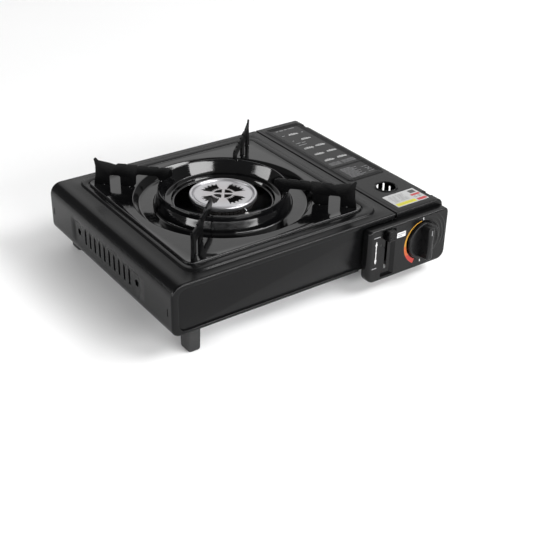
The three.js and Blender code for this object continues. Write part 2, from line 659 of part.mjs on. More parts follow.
// ---------------------------------------------------------------- drip pan and pot supports
function dripPan() {
  const half = panSide / 2;
  const deck = (grow, z0, z1) => alongZ(
    rect(burnerX - half + grow, burnerY - half + grow, burnerX + half - grow, burnerY + half - grow, panCorner - grow),
    z0, z1, [disc(burnerX, burnerY, wellR, 48)]);
  const plate = deck(1.2, deckZ - panSheet, deckZ)
    .add(deck(0, deckZ - panSheet, deckZ - 0.4)).subtract(deck(2.2, deckZ - 3, deckZ - panSheet));
  const t = panSheet;
  const floor = deckZ - troughDepth;
  const crest = deckZ + crestHeight;
  const line = [
    [wellR + 0.5, deckZ], [wellR - 1, deckZ, 0], [wellR - 6.5, floor, 3], [crestR + 5, floor, 0],
    [crestR + 0.4, crest - 0.7, 0], [crestR - 0.9, crest, 0], [crestR - 2.2, crest - 0.7, 0],
    [crestR - 7, deckZ - 3, 0], [panHoleR + 3.2, deckZ - 3, 0], [panHoleR + 1.6, deckZ - 6.5, 0], [panHoleR, deckZ - 6.5],
  ];
  const section = ribbon(line, t, 40).map((p) => [p.x, p.y]);
  const shell = turned([...section, section[0]], burnerX, burnerY, 48);
  return plate.add(shell);
}

// Outline in (radius from the burner, height above the deck).
function supportOutline() {
  const inner = crestR + 1.5;
  const outer = wellR - 1;
  const points = [
    [supportInner, 17, 3], [crestR - 6, crestHeight + 1.6, 1], [crestR - 4, crestHeight + gap],
    [inner, crestHeight + gap], [inner + 1, 15, 3], [outer, 15, 4], [outer + 0.5, 3], [outer + 3, gap],
    [supportReach - 30, gap], [supportReach - 30, 11.5, 2], [supportReach - 17.5, 11.5, 2],
    [supportReach - 17.5, gap], [supportReach, gap], [supportReach - 2, 12, 4], [supportReach - 2, 22],
    [supportReach - 1, hornHeight - 1.5], [supportReach - 3, hornHeight], [supportReach - 5.5, 27.4, 2],
  ];
  const start = supportReach - 28;
  const wave = [[start + 10, 25.6], [start + 3, 24.2]];
  const pitch = (start - supportInner - 1) / 5;
  for (let i = 0; i < 5; i += 1) {
    const r = start - i * pitch;
    wave.push([r, supportHeight + 0.7], [r - 0.5 * pitch, supportHeight + 0.9], [r - 0.85 * pitch, supportHeight]);
  }
  return rounded([...points, ...wave, [supportInner, supportHeight, 2]], 30);
}

function potSupport(angle) {
  const place3 = new THREE.Matrix4().makeTranslation(burnerX, burnerY, deckZ)
    .multiply(new THREE.Matrix4().makeRotationZ(THREE.MathUtils.degToRad(angle)))
    .multiply(new THREE.Matrix4().makeRotationX(Math.PI / 2));
  const geometry = extruded(supportOutline(), supportSheet).translate(0, 0, -supportSheet / 2);
  return solid(geometry.applyMatrix4(place3));
}

const panGroup = group('pan');
place(panGroup, 'drip_pan', dripPan(), 'enamel');
['rear_right', 'rear_left', 'front_left', 'front_right'].forEach((name, i) => {
  place(panGroup, `pot_support_${name}`, potSupport(45 + 90 * i), 'enamel');
});

export default stove;
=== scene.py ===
import bmesh
import bpy
import numpy as np
from mathutils import Matrix, Vector


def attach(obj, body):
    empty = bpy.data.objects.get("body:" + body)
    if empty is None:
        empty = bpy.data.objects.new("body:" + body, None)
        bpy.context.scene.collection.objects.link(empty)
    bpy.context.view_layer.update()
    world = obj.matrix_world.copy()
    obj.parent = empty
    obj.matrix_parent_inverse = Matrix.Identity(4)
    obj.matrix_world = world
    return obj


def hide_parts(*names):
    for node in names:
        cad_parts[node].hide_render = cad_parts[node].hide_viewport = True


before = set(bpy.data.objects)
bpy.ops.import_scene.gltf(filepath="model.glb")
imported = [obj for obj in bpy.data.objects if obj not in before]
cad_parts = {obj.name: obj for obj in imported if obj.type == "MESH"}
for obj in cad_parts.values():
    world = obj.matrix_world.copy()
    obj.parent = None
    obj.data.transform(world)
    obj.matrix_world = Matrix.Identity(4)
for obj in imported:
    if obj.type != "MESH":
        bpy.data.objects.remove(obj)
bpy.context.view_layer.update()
print("frame loaded")

# Shapes are worked out in millimetres from the case's lower left front corner; caseShift takes them to the frame.
caseShift = np.array([-171.5, -120.75, 26.0])
burner = np.array([143.0, 133.0])
deckZ = 59.5  # top of the drip pan's flat deck
panelY = -10.4  # front of the control panel
knobAt = np.array([307.0, 21.0])
leverX = 258.0
caseTop = 56.5


# ---- lines and outlines
# Corners [x, y, radius] joined by straight lines; each radius is the arc that touches both of its lines.
def roundedLine(corners, closed=False, steps=8):
    parts = []
    for i, (x, y, r) in enumerate(corners):
        p = np.array([x, y], float)
        if r == 0 or (not closed and i in (0, len(corners) - 1)):
            parts.append(p[None])
            continue
        a = np.array(corners[i - 1][:2], float) - p
        b = np.array(corners[(i + 1) % len(corners)][:2], float) - p
        a, b = a / np.linalg.norm(a), b / np.linalg.norm(b)
        half = np.arccos(np.clip(a @ b, -1, 1)) / 2
        centre = p + (a + b) / np.linalg.norm(a + b) * r / np.sin(half)
        first = p + a * r / np.tan(half) - centre
        turn = (np.pi - 2 * half) * np.sign(a[0] * first[1] - a[1] * first[0])
        t = np.linspace(0, turn, steps + 1)[:, None]
        parts.append(centre + np.cos(t) * first + np.sin(t) * np.array([-first[1], first[0]]))
    return np.vstack(parts)


# Places along a line, as fractions of its point numbers, so that no step is longer than the spacing.
def places(line, spacing, closed=False):
    ends = np.vstack([line, line[:1]]) if closed else line
    length = np.linalg.norm(np.diff(ends, axis=0), axis=1)
    parts = [np.linspace(i, i + 1, max(1, int(np.ceil(d / spacing))), endpoint=False) for i, d in enumerate(length)]
    return np.concatenate(parts + ([] if closed else [[len(line) - 1.0]]))


# The line's points at those places: straight mixing between neighbours.
def along(line, at, closed=False):
    ends = np.vstack([line, line[:1]]) if closed else line
    return np.stack([np.interp(at, np.arange(len(ends)), ends[:, k]) for k in range(line.shape[1])], 1)


def divided(line, spacing, closed=False):
    return along(line, places(line, spacing, closed), closed)


# Unit vectors to the left of each point's way along the line.
def leftOf(line, closed=False):
    ends = np.vstack([line[-1:], line, line[:1]]) if closed else np.vstack([line[:1], line, line[-1:]])
    way = ends[2:] - ends[:-2]
    way = way / np.linalg.norm(way, axis=1, keepdims=True)
    return np.stack([-way[:, 1], way[:, 0]], 1)


# Signed distance to a rounded rectangle: length of the outer part plus the inner part, less the corner radius.
def boxDistance(p, centre, half, r):
    q = np.abs(p - np.array(centre)) - np.array(half) + r
    return np.linalg.norm(np.maximum(q, 0), axis=-1) + np.minimum(q.max(-1), 0) - r


def circleDistance(p, centre, r):
    return np.linalg.norm(p - np.array(centre), axis=-1) - r


# Points [x, z] stood up at the depth y.
def stood(line, y):
    return np.column_stack([line[:, 0], np.full(len(line), y), line[:, 1]])


# Number of the value nearest to the target, among those that aren't barred.
def nearest(values, target, barred=False):
    return int(np.argmin(np.abs(values - target) + 1000 * barred))


# Smooth step: 3t^2 - 2t^3 between the two ends.
def ease(value, low, high):
    t = np.clip((value - low) / (high - low), 0, 1)
    return t * t * (3 - 2 * t)


# Where each ray from the centre through a loop point meets an outline, found by halving.
def onOutline(loop, centre, distance):
    centre = np.array(centre, float)
    ray = loop - centre
    ray = ray / np.linalg.norm(ray, axis=1, keepdims=True)
    low, high = np.zeros((len(loop), 1)), np.full((len(loop), 1), 400.0)
    for _ in range(40):
        middle = (low + high) / 2
        inside = distance(centre + ray * middle)[:, None] < 0
        low, high = np.where(inside, middle, low), np.where(inside, high, middle)
    return centre + ray * high


# ---- patches: a list of points and the faces between them
# A grid of points[row, column]; faces look along row direction x column direction unless flipped.
def gridPatch(points, closeColumns=False, keep=None, flip=False):
    rows, columns = points.shape[:2]
    index = np.arange(rows * columns).reshape(rows, columns)
    if closeColumns:
        index = np.hstack([index, index[:, :1]])
    faces = np.stack([index[:-1, :-1], index[1:, :-1], index[1:, 1:], index[:-1, 1:]], -1)
    faces = faces.reshape(-1, 4) if keep is None else faces[keep]
    return points.reshape(-1, 3), (faces[:, ::-1] if flip else faces).tolist()


# Loops of equal length joined in order; a cap is one face over the last loop.
def loopPatch(loops, flip=False, capEnd=False, capStart=False):
    points, faces = gridPatch(np.stack(loops), closeColumns=True, flip=flip)
    count = len(loops[0])
    last = list(range((len(loops) - 1) * count, len(loops) * count))
    if capEnd:
        faces.append(last[::-1] if flip else last)
    if capStart:
        faces.append(list(range(count)) if flip else list(range(count))[::-1])
    return points, faces


# A profile [radius, height] turned about an axis: across = r cos a, r sin a; axis "z" or "y" (height is y).
def turned(profile, centre, axis="z", sides=96, angles=None, keep=None):
    a = np.linspace(0, 2 * np.pi, sides, endpoint=False) if angles is None else angles
    r, h = profile[:, :1], profile[:, 1:2]
    u, v, w = r * np.cos(a), r * np.sin(a), np.broadcast_to(h, (len(profile), len(a)))
    order = (u, v, w) if axis == "z" else (u, w, v)
    points = np.stack(order, -1) + np.array(centre, float)
    return gridPatch(points, closeColumns=True, flip=axis == "y", keep=keep)


# The block of faces rows x columns is left out of keep, and its border loop (anticlockwise from outside) is returned.
def cutBlock(points, keep, rows, columns):
    (r0, r1), (c0, c1) = rows, columns
    keep[r0:r1, c0:c1] = False
    return np.vstack([points[r0:r1, c0], points[r1, c0:c1], points[r1:r0:-1, c1], points[r0, c1:c0:-1]])


# From a border loop inwards to a hole of the given outline, in the plane of two of the axes.
def holePatch(border, axes, centre, distance, rings=3, extra=()):
    hole = border.copy()
    hole[:, axes] = onOutline(border[:, axes], centre, distance)
    share = np.linspace(0, 1, rings + 2)[:, None, None]
    loops = list(border * (1 - share) + hole * share) + [hole + np.array(e) for e in extra]
    return loopPatch(loops, flip=True)


# A rounded block as loops: the outline shrinks over the edge radius, then towards the middle with a slight crown.
def cushionLoops(outline, place, radius, crown=0.0, steps=5, fills=4):
    middle = outline.mean(0)
    inward = leftOf(outline, closed=True)
    t = np.linspace(0, np.pi / 2, steps + 1)
    loops = [place(outline + inward * radius * (1 - np.cos(a)), -radius * (1 - np.sin(a))) for a in t]
    inner = outline + inward * radius
    for k in np.linspace(0, 1, fills + 1)[1:]:
        loops.append(place(inner + (middle - inner) * k * 0.999, crown * (1 - (1 - k) ** 2)))
    return loops


# ---- pieces
# Patches become one mesh in the frame. The finish settings are those of finishPiece.
def makePiece(name, patches, material, body, replaces=(), slot=None, **settings):
    points, faces, start = [], [], 0
    for p, f in patches:
        points.append(p)
        faces += [[i + start for i in face] for face in f]
        start += len(p)
    mesh = bpy.data.meshes.new(name)
    mesh.from_pydata(((np.vstack(points) + caseShift) / 1000).tolist(), [], faces)
    return finishPiece(name, mesh, material, body, replaces, slot, **settings)


# A wall grows inwards, so sideways (X and Y) its points are moved back to the skin's own limits.
def keepInside(mesh, solid):
    skin, grown = (np.empty(len(m.vertices) * 3, np.float32) for m in (mesh, solid))
    mesh.vertices.foreach_get("co", skin)
    solid.vertices.foreach_get("co", grown)
    skin, grown = skin.reshape(-1, 3), grown.reshape(-1, 3)
    grown[:, :2] = np.clip(grown[:, :2], skin[:, :2].min(0), skin[:, :2].max(0))
    solid.vertices.foreach_set("co", grown.ravel())
    solid.update()


# Near points are merged, wall and bevel are applied, and edges sharper than the angle stay sharp.
def finishPiece(name, mesh, material, body, replaces, slot,
                wall=0.0, bevel=0.0, angle=38, closed=False, weld=2e-6):
    work = bmesh.new()
    work.from_mesh(mesh)
    bmesh.ops.remove_doubles(work, verts=work.verts, dist=weld)
    bmesh.ops.dissolve_degenerate(work, edges=work.edges, dist=weld / 2)
    if closed:
        bmesh.ops.recalc_face_normals(work, faces=work.faces)
    work.to_mesh(mesh)
    work.free()
    piece = bpy.data.objects.new(name, mesh)
    bpy.context.scene.collection.objects.link(piece)
    if wall:
        solidify = piece.modifiers.new("wall", "SOLIDIFY")
        solidify.thickness = wall / 1000
        solidify.offset = -1
    if bevel:
        edge = piece.modifiers.new("edge", "BEVEL")
        edge.width = bevel / 1000
        edge.segments = 2
        edge.limit_method = "ANGLE"
        edge.angle_limit = np.radians(40)
    if wall or bevel:
        bpy.context.view_layer.update()
        graph = bpy.context.evaluated_depsgraph_get()
        solid = bpy.data.meshes.new_from_object(piece.evaluated_get(graph))
        piece.modifiers.clear()
        if wall:
            keepInside(mesh, solid)
        piece.data = solid
        solid.name = name
    piece.data.shade_smooth()
    piece.data.set_sharp_from_angle(angle=np.radians(angle))
    piece.data.materials.clear()
    piece.data.materials.append(material)
    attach(piece, body)
    if replaces:
        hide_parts(*replaces)
    return piece


# A flat outline given a thickness along one axis: two many-sided faces and the strip between them.
def plate(outline, axis, low, high):
    def at(level):
        level = np.full(len(outline), float(level))
        return np.stack({"y": (outline[:, 0], level, outline[:, 1]), "z": (outline[:, 0], outline[:, 1], level),
                         "x": (level, outline[:, 0], outline[:, 1])}[axis], 1)
    return loopPatch([at(low), at(high)], capStart=True, capEnd=True)


# A CAD node's mesh copied and merged, with a small edge radius, for shapes that only need smooth shading.
def smoothCopy(node, material, body, slot, bevel):
    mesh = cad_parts[node].data.copy()
    return finishPiece(node + "_finished", mesh, material, body, [node], slot, bevel=bevel, closed=True, weld=1e-6)


# ---- materials
# A number socket with the arithmetic of its Math nodes, so that expressions add the nodes they need.
class Level:
    def __init__(self, finish, socket):
        self.finish, self.socket = finish, socket

    def maths(self, operation, first, second=None):
        values = {0: first} if second is None else {0: first, 1: second}
        return self.finish.level("ShaderNodeMath", {"operation": operation}, values)

    def over(self, edge, soft):  # 0 below the edge, 1 above it, smooth over the soft width
        settings = {"interpolation_type": "SMOOTHSTEP"}
        return self.finish.level("ShaderNodeMapRange", settings, {0: self, 1: edge - soft, 2: edge + soft})

    def within(self, low, high, soft):
        return self.over(low, soft) * (1 - self.over(high, soft))


for sign, operation in (("add", "ADD"), ("sub", "SUBTRACT"), ("mul", "MULTIPLY"), ("pow", "POWER")):
    setattr(Level, f"__{sign}__", lambda self, other, kind=operation: self.maths(kind, self, other))
    setattr(Level, f"__r{sign}__", lambda self, other, kind=operation: self.maths(kind, other, self))


# One finish: a principled surface, its object coordinates in metres, and the nodes that its formula needs.
class Finish:
    def __init__(self, name, **constants):
        self.material = bpy.data.materials.new(name)
        self.material.use_nodes = True
        self.tree = self.material.node_tree
        self.tree.nodes.clear()
        output = self.node("ShaderNodeOutputMaterial")
        self.shader = self.node("ShaderNodeBsdfPrincipled", None, constants)
        self.tree.links.new(self.shader.outputs[0], output.inputs[0])
        self.place = self.node("ShaderNodeTexCoord").outputs["Object"]

    def node(self, kind, settings=None, values=None):
        made = self.tree.nodes.new(kind)
        for key, value in (settings or {}).items():
            setattr(made, key, value)
        for key, value in (values or {}).items():
            socket = made.inputs[key.replace("_", " ")] if isinstance(key, str) else made.inputs[key]
            value = value.socket if isinstance(value, Level) else value
            if isinstance(value, bpy.types.NodeSocket):
                self.tree.links.new(value, socket)
            else:
                socket.default_value = value
        return made

    def level(self, kind, settings=None, values=None, output=0):
        return Level(self, self.node(kind, settings, values).outputs[output])

    def noise(self, scale, detail=2.0, stretch=(1, 1, 1)):
        where = self.node("ShaderNodeMapping", None, {"Vector": self.place, "Scale": stretch}).outputs[0]
        return self.level("ShaderNodeTexNoise", None, {"Vector": where, "Scale": scale, "Detail": detail})

    def cells(self, scale):
        return self.level("ShaderNodeTexVoronoi", None, {"Vector": self.place, "Scale": scale}, "Distance")

    def axes(self):
        split = self.node("ShaderNodeSeparateXYZ", None, {0: self.place})
        return [Level(self, split.outputs[k]) for k in range(3)]

    def blend(self, factor, first, second):
        def colour(value):
            return value if isinstance(value, bpy.types.NodeSocket) else (*value, 1)
        values = {0: factor, 6: colour(first), 7: colour(second)}
        return self.node("ShaderNodeMix", {"data_type": "RGBA"}, values).outputs[2]

    def set(self, colour=None, roughness=None, metallic=None, height=None, depth=0.0001):
        links = {"Base Color": colour, "Roughness": roughness, "Metallic": metallic}
        for name, value in links.items():
            if value is not None:
                self.tree.links.new(value.socket if isinstance(value, Level) else value, self.shader.inputs[name])
        if height is not None:
            bump = self.node("ShaderNodeBump", None, {"Strength": 1.0, "Distance": depth, "Height": height})
            self.tree.links.new(bump.outputs[0], self.shader.inputs["Normal"])
        return self.material


# Satin paint: base tone clouded by slow noise, fine orange peel as bump, few pale dust specks, roughness from all.
def satinPaint(name, tone, rough, index):
    f = Finish(name, IOR=index)
    cloud, peel, dust = f.noise(22, 3), f.noise(1500, 2), f.noise(2600, 1)
    speck = dust.over(0.78, 0.03) * cloud.over(0.5, 0.15)
    colour = f.blend(cloud, [c * 0.85 for c in tone], [c * 1.2 for c in tone])
    colour = f.blend(speck * 0.2, colour, (0.1, 0.1, 0.1))
    roughness = rough + (cloud - 0.5) * 0.12 + (peel - 0.5) * 0.1 + speck * 0.2
    return f.set(colour, roughness, None, peel + cloud * 2, 0.00003)


# Glossy enamel: near black, wide soft ripples and pinholes as bump, faint wiping smears in the roughness.
def glossEnamel(name, tone, rough, index):
    f = Finish(name, IOR=index)
    ripple, smear, pin = f.noise(85, 1), f.noise(30, 4, (1, 3, 1)), f.noise(1900, 1)
    dust = pin.over(0.8, 0.02)
    colour = f.blend(dust * 0.2, f.blend(smear, tone, [c * 1.6 for c in tone]), (0.08, 0.08, 0.08))
    roughness = rough + smear.over(0.62, 0.12) * 0.05 + dust * 0.2
    return f.set(colour, roughness, None, ripple + pin * 0.02, 0.00009)


# Moulded plastic: fine spark-eroded grain from two noises as bump, slightly paler where rubbed.
def mouldedPlastic(name, tone, rough, index):
    f = Finish(name, IOR=index)
    grain, fine, rub = f.noise(1300, 2), f.noise(3600, 1), f.noise(45, 3)
    colour = f.blend(rub, [c * 0.9 for c in tone], [c * 1.15 for c in tone])
    roughness = rough + (grain - 0.5) * 0.16 - rub.over(0.6, 0.15) * 0.06
    return f.set(colour, roughness, None, grain + fine * 0.5, 0.00005)


# Bright plating on the burner cap: rings of turning marks from noise of the radius, faint straw tint near the middle.
def platedSteel(name):
    f = Finish(name, IOR=1.45)
    x, y, z = f.axes()
    x, y = x - (burner[0] + caseShift[0]) / 1000, y - (burner[1] + caseShift[1]) / 1000
    radius = (x * x + y * y) ** 0.5
    marks = f.level("ShaderNodeTexNoise", {"noise_dimensions": "1D"}, {"W": radius, "Scale": 2600.0, "Detail": 2.0})
    cloud = f.noise(120, 3)
    tint = (1 - radius.over(0.021, 0.008)) * (0.4 + cloud * 0.6)
    colour = f.blend(tint * 0.5, (0.50, 0.495, 0.51), (0.45, 0.41, 0.40))
    roughness, metallic = 0.3 + (marks - 0.5) * 0.16 + cloud * 0.08, 0.92 + (cloud - 0.5) * 0.1
    return f.set(colour, roughness, metallic, marks + cloud, 0.00002)


# Zinc-plated sheet: spangle cells vary tone and roughness, fine rolling streaks along X as bump.
def zincSteel(name, tone=(0.36, 0.365, 0.38), rough=0.42):
    f = Finish(name, Metallic=1.0)
    spangle, streak = f.cells(210), f.noise(900, 2, (0.04, 1, 1))
    colour = f.blend(spangle.over(0.4, 0.4), [c * 0.86 for c in tone], tone)
    return f.set(colour, rough + (spangle - 0.4) * 0.15 + (streak - 0.5) * 0.12, None, streak, 0.00002)


# Cast or sooted metal: rough two-scale noise as bump, brown-grey patches in the tone.
def castMetal(name, tone, rough=0.7):
    f = Finish(name, Metallic=0.35)
    lump, sand = f.noise(260, 4), f.noise(1700, 2)
    colour = f.blend(lump, tone, [c * k for c, k in zip(tone, (1.9, 1.65, 1.5))])
    return f.set(colour, rough + (lump - 0.5) * 0.2, None, lump + sand * 0.5, 0.00012)


# Turned brass: fine noise in tone and roughness.
def turnedBrass(name):
    f = Finish(name, Metallic=1.0)
    stain, line = f.noise(160, 3), f.noise(2200, 1, (1, 0.1, 1))
    colour = f.blend(stain, (0.62, 0.45, 0.17), (0.74, 0.58, 0.27))
    return f.set(colour, 0.28 + stain * 0.18, None, line, 0.00001)


# Glazed ceramic: off-white with slow cloud and a shallow uneven glaze.
def glazedCeramic(name):
    f = Finish(name, Coat_Weight=0.6, Coat_Roughness=0.08)
    cloud = f.noise(240, 3)
    colour = f.blend(cloud, (0.84, 0.83, 0.79), (0.93, 0.92, 0.9))
    return f.set(colour, 0.3 + cloud * 0.12, None, cloud, 0.00004)


# Rubber: dark grey, dusty patches, fine mould grain.
def mouldedRubber(name, tone=(0.006, 0.006, 0.0063)):
    f = Finish(name, IOR=1.5)
    dust, grain = f.noise(70, 4), f.noise(1900, 2)
    colour = f.blend(dust.over(0.55, 0.2) * 0.25, tone, (0.035, 0.034, 0.032))
    return f.set(colour, 0.72 + dust * 0.18, None, grain, 0.00005)


# One flat printed colour with a little ink mottling.
def printedInk(name, tone, rough=0.45):
    f = Finish(name)
    mottle = f.noise(1400, 2)
    return f.set(f.blend(mottle, [c * 0.88 for c in tone], tone), rough + (mottle - 0.5) * 0.1)


# Sticker on the lid: white paper with a yellow strip, red blocks and dark bars. Each block is the product of a
# soft window in X and one in Y, in case coordinates; the bars are repeated by the fraction of Y.
def stickerPrint(name):
    f = Finish(name, Coat_Weight=0.3)
    x, y, z = f.axes()
    x, y = x * 1000 - caseShift[0], y * 1000 - caseShift[1]
    soft, fibre = 0.12, f.noise(900, 3)
    paper = f.blend(fibre, (0.38, 0.38, 0.38), (0.47, 0.47, 0.47))
    lines = y * 0.42 + 0.1
    rows = lines.maths("FRACT", lines).over(0.55, 0.1) * f.noise(260, 2, (1, 0.3, 1)).over(0.46, 0.06)
    bars = rows * x.within(289.5, 312, soft) * y.within(18.5, 34.5, soft)
    colour = f.blend(bars * 0.75, paper, (0.12, 0.12, 0.12))
    blocks = [
        ((288.4, 315.5), (10.8, 16.6), 1.0, (0.52, 0.48, 0.005)),
        ((292, 311), (12.9, 14.3), 0.6, (0.3, 0.26, 0.02)),
        ((317.5, 330), (10.8, 15.4), 1.0, (0.40, 0.012, 0.018)),
        ((317.5, 330), (22.4, 26.2), 1.0, (0.40, 0.015, 0.02)),
        ((318.5, 329), (16.6, 21.2), rows, (0.1, 0.1, 0.1)),
        ((320.5, 328.5), (28.2, 34.8), 1.0, (0.03, 0.03, 0.03)),
    ]
    for across, up, strength, tone in blocks:
        colour = f.blend(x.within(*across, soft) * y.within(*up, soft) * strength, colour, tone)
    return f.set(colour, 0.42 + fibre * 0.1)


# Dial band: yellow, orange and red in turn, chosen by the height on the panel.
def dialBand(name):
    f = Finish(name)
    x, y, z = f.axes()
    height = z * 1000 - caseShift[2]
    colour = f.blend(1 - height.over(19.0, 0.5), (0.31, 0.16, 0.01), (0.33, 0.06, 0.004))
    colour = f.blend(1 - height.over(7.5, 0.4), colour, (0.27, 0.002, 0.004))
    mottle = f.noise(1300, 2)
    return f.set(f.blend(mottle * 0.2, colour, (0.3, 0.1, 0.02)), 0.42 + mottle * 0.1)


casePaint = satinPaint("case_paint", (0.0022, 0.0022, 0.0024), 0.24, 1.26)
panEnamel = glossEnamel("pan_enamel", (0.0016, 0.0016, 0.0018), 0.085, 1.42)
supportEnamel = glossEnamel("support_enamel", (0.0011, 0.0011, 0.0012), 0.34, 1.19)
panelPlastic = mouldedPlastic("panel_plastic", (0.0030, 0.0030, 0.0032), 0.22, 1.3)
knobPlastic = mouldedPlastic("knob_plastic", (0.0026, 0.0026, 0.0028), 0.30, 1.32)
leverPlastic = mouldedPlastic("lever_plastic", (0.0018, 0.0018, 0.0019), 0.28, 1.25)
capPlating = platedSteel("cap_plating")
zinc = zincSteel("zinc_plating")
screwSteel = zincSteel("screw_steel", (0.45, 0.46, 0.48), 0.32)
headMetal = castMetal("head_metal", (0.03, 0.03, 0.031))
valveMetal = castMetal("valve_metal", (0.16, 0.16, 0.165), 0.55)
brass = turnedBrass("brass")
ceramic = glazedCeramic("ceramic")
footRubber = mouldedRubber("foot_rubber")
leadSleeve = mouldedRubber("lead_sleeve", (0.28, 0.05, 0.04))
whiteInk = printedInk("white_ink", (0.46, 0.46, 0.46))
greyInk = printedInk("grey_ink", (0.16, 0.16, 0.165))
sticker = stickerPrint("sticker")
dial = dialBand("dial_band")
print("materials made")

# ---- top case: one skin from the left rim over the top to the lid, with folded flanges at the front and the back
topCase = {
    "outline": [[228, 0, 0], [30, 0, 0], [0, 0, 9], [0, 11.8, 0], [0, 13.4, 0], [0, 37.2, 0], [0, 38.8, 0],
                [0, caseTop, 13], [16, caseTop, 0], [272.6, caseTop, 0], [276, caseTop, 1.5], [276, 52.5, 0]],
    "window": [[228, 4, 0], [30, 4, 0], [7.5, 4, 9], [7.5, 12.5, 0], [7.5, 13.4, 0], [7.5, 37.2, 0],
               [7.5, 38, 0], [7.5, 51, 9], [18, 51, 0], [272.6, 51, 0], [275.6, 51, 0.01], [275.6, 50.6, 0]],
    "depth": 266.5, "fold": 2.1, "wall": 0.8, "lipDepth": 8.0,
    "ventPanel": [[136.3, 25.3], [72.7, 12.7], 3.0], "ventPanelDepth": 1.0,
    "slots": 10, "firstSlot": 86.0, "slotPitch": 10.76, "slotMiddle": 26.8, "slotHalf": [1.8, 9.5],
    "holes": [70.4, 197.5], "holeEnds": [(64.4, 76.6), (191.9, 203.2)], "holeRadius": 3.8,
    "nearHoles": [63.0, 64.4, 66.0, 75.0, 76.6, 78.3, 191.9, 203.2, 205.6, 208.2, 209.6],
    "ventRows": [13.4, 37.2], "tabs": [8.0, 257.8], "tabRows": [21.3, 29.2], "topEnds": [(16, 272.6), (3.0, 263.5)],
    "field": [[145.25, 133.25], [117.75, 121.25], 16.0], "fieldRise": 2.0, "fieldSlope": 2.2, "opening": 101.0,
    "seat": [108.75, 9.0], "groove": [[2.3, 0.0], [2.0, -0.2], [1.8, -1.1], [0.6, -1.1], [0.3, -0.2], [0.0, 0.0]],
}


# Front fold, the outline repeated at each column, and the front fold mirrored as the back one.
def sheetGrid(front, outer, columns, depth):
    back = [p * [1, -1, 1] + [0, depth, 0] for p in front[::-1]]
    return np.stack(front + [stood(outer, y) for y in columns] + back, 1)


# Skin point = outline point, moved along its inward normal over the fold, then towards the window on the flange.
def foldedSkin(outer, window, inward, fold, columns, depth):
    t = np.linspace(0, np.pi / 2, 6)
    low = np.linalg.norm(window - outer, axis=1, keepdims=True)
    toWindow = (window - outer) / np.maximum(low, 1e-6)
    rows = []
    for out, y in ((0.0, 1.5), (0.0, 0.45), (0.3, 0.12), (0.8, 0.0)):
        rows.append((window - toWindow * out, y))
    start = outer + inward * fold
    rows.append((start * 0.5 + (window - toWindow * 0.8) * 0.5, 0.0))
    rows += [(outer + inward * fold * (1 - np.sin(a)), fold * (1 - np.cos(a))) for a in t]
    return sheetGrid([stood(p, y) for p, y in rows], outer, columns, depth), len(rows)


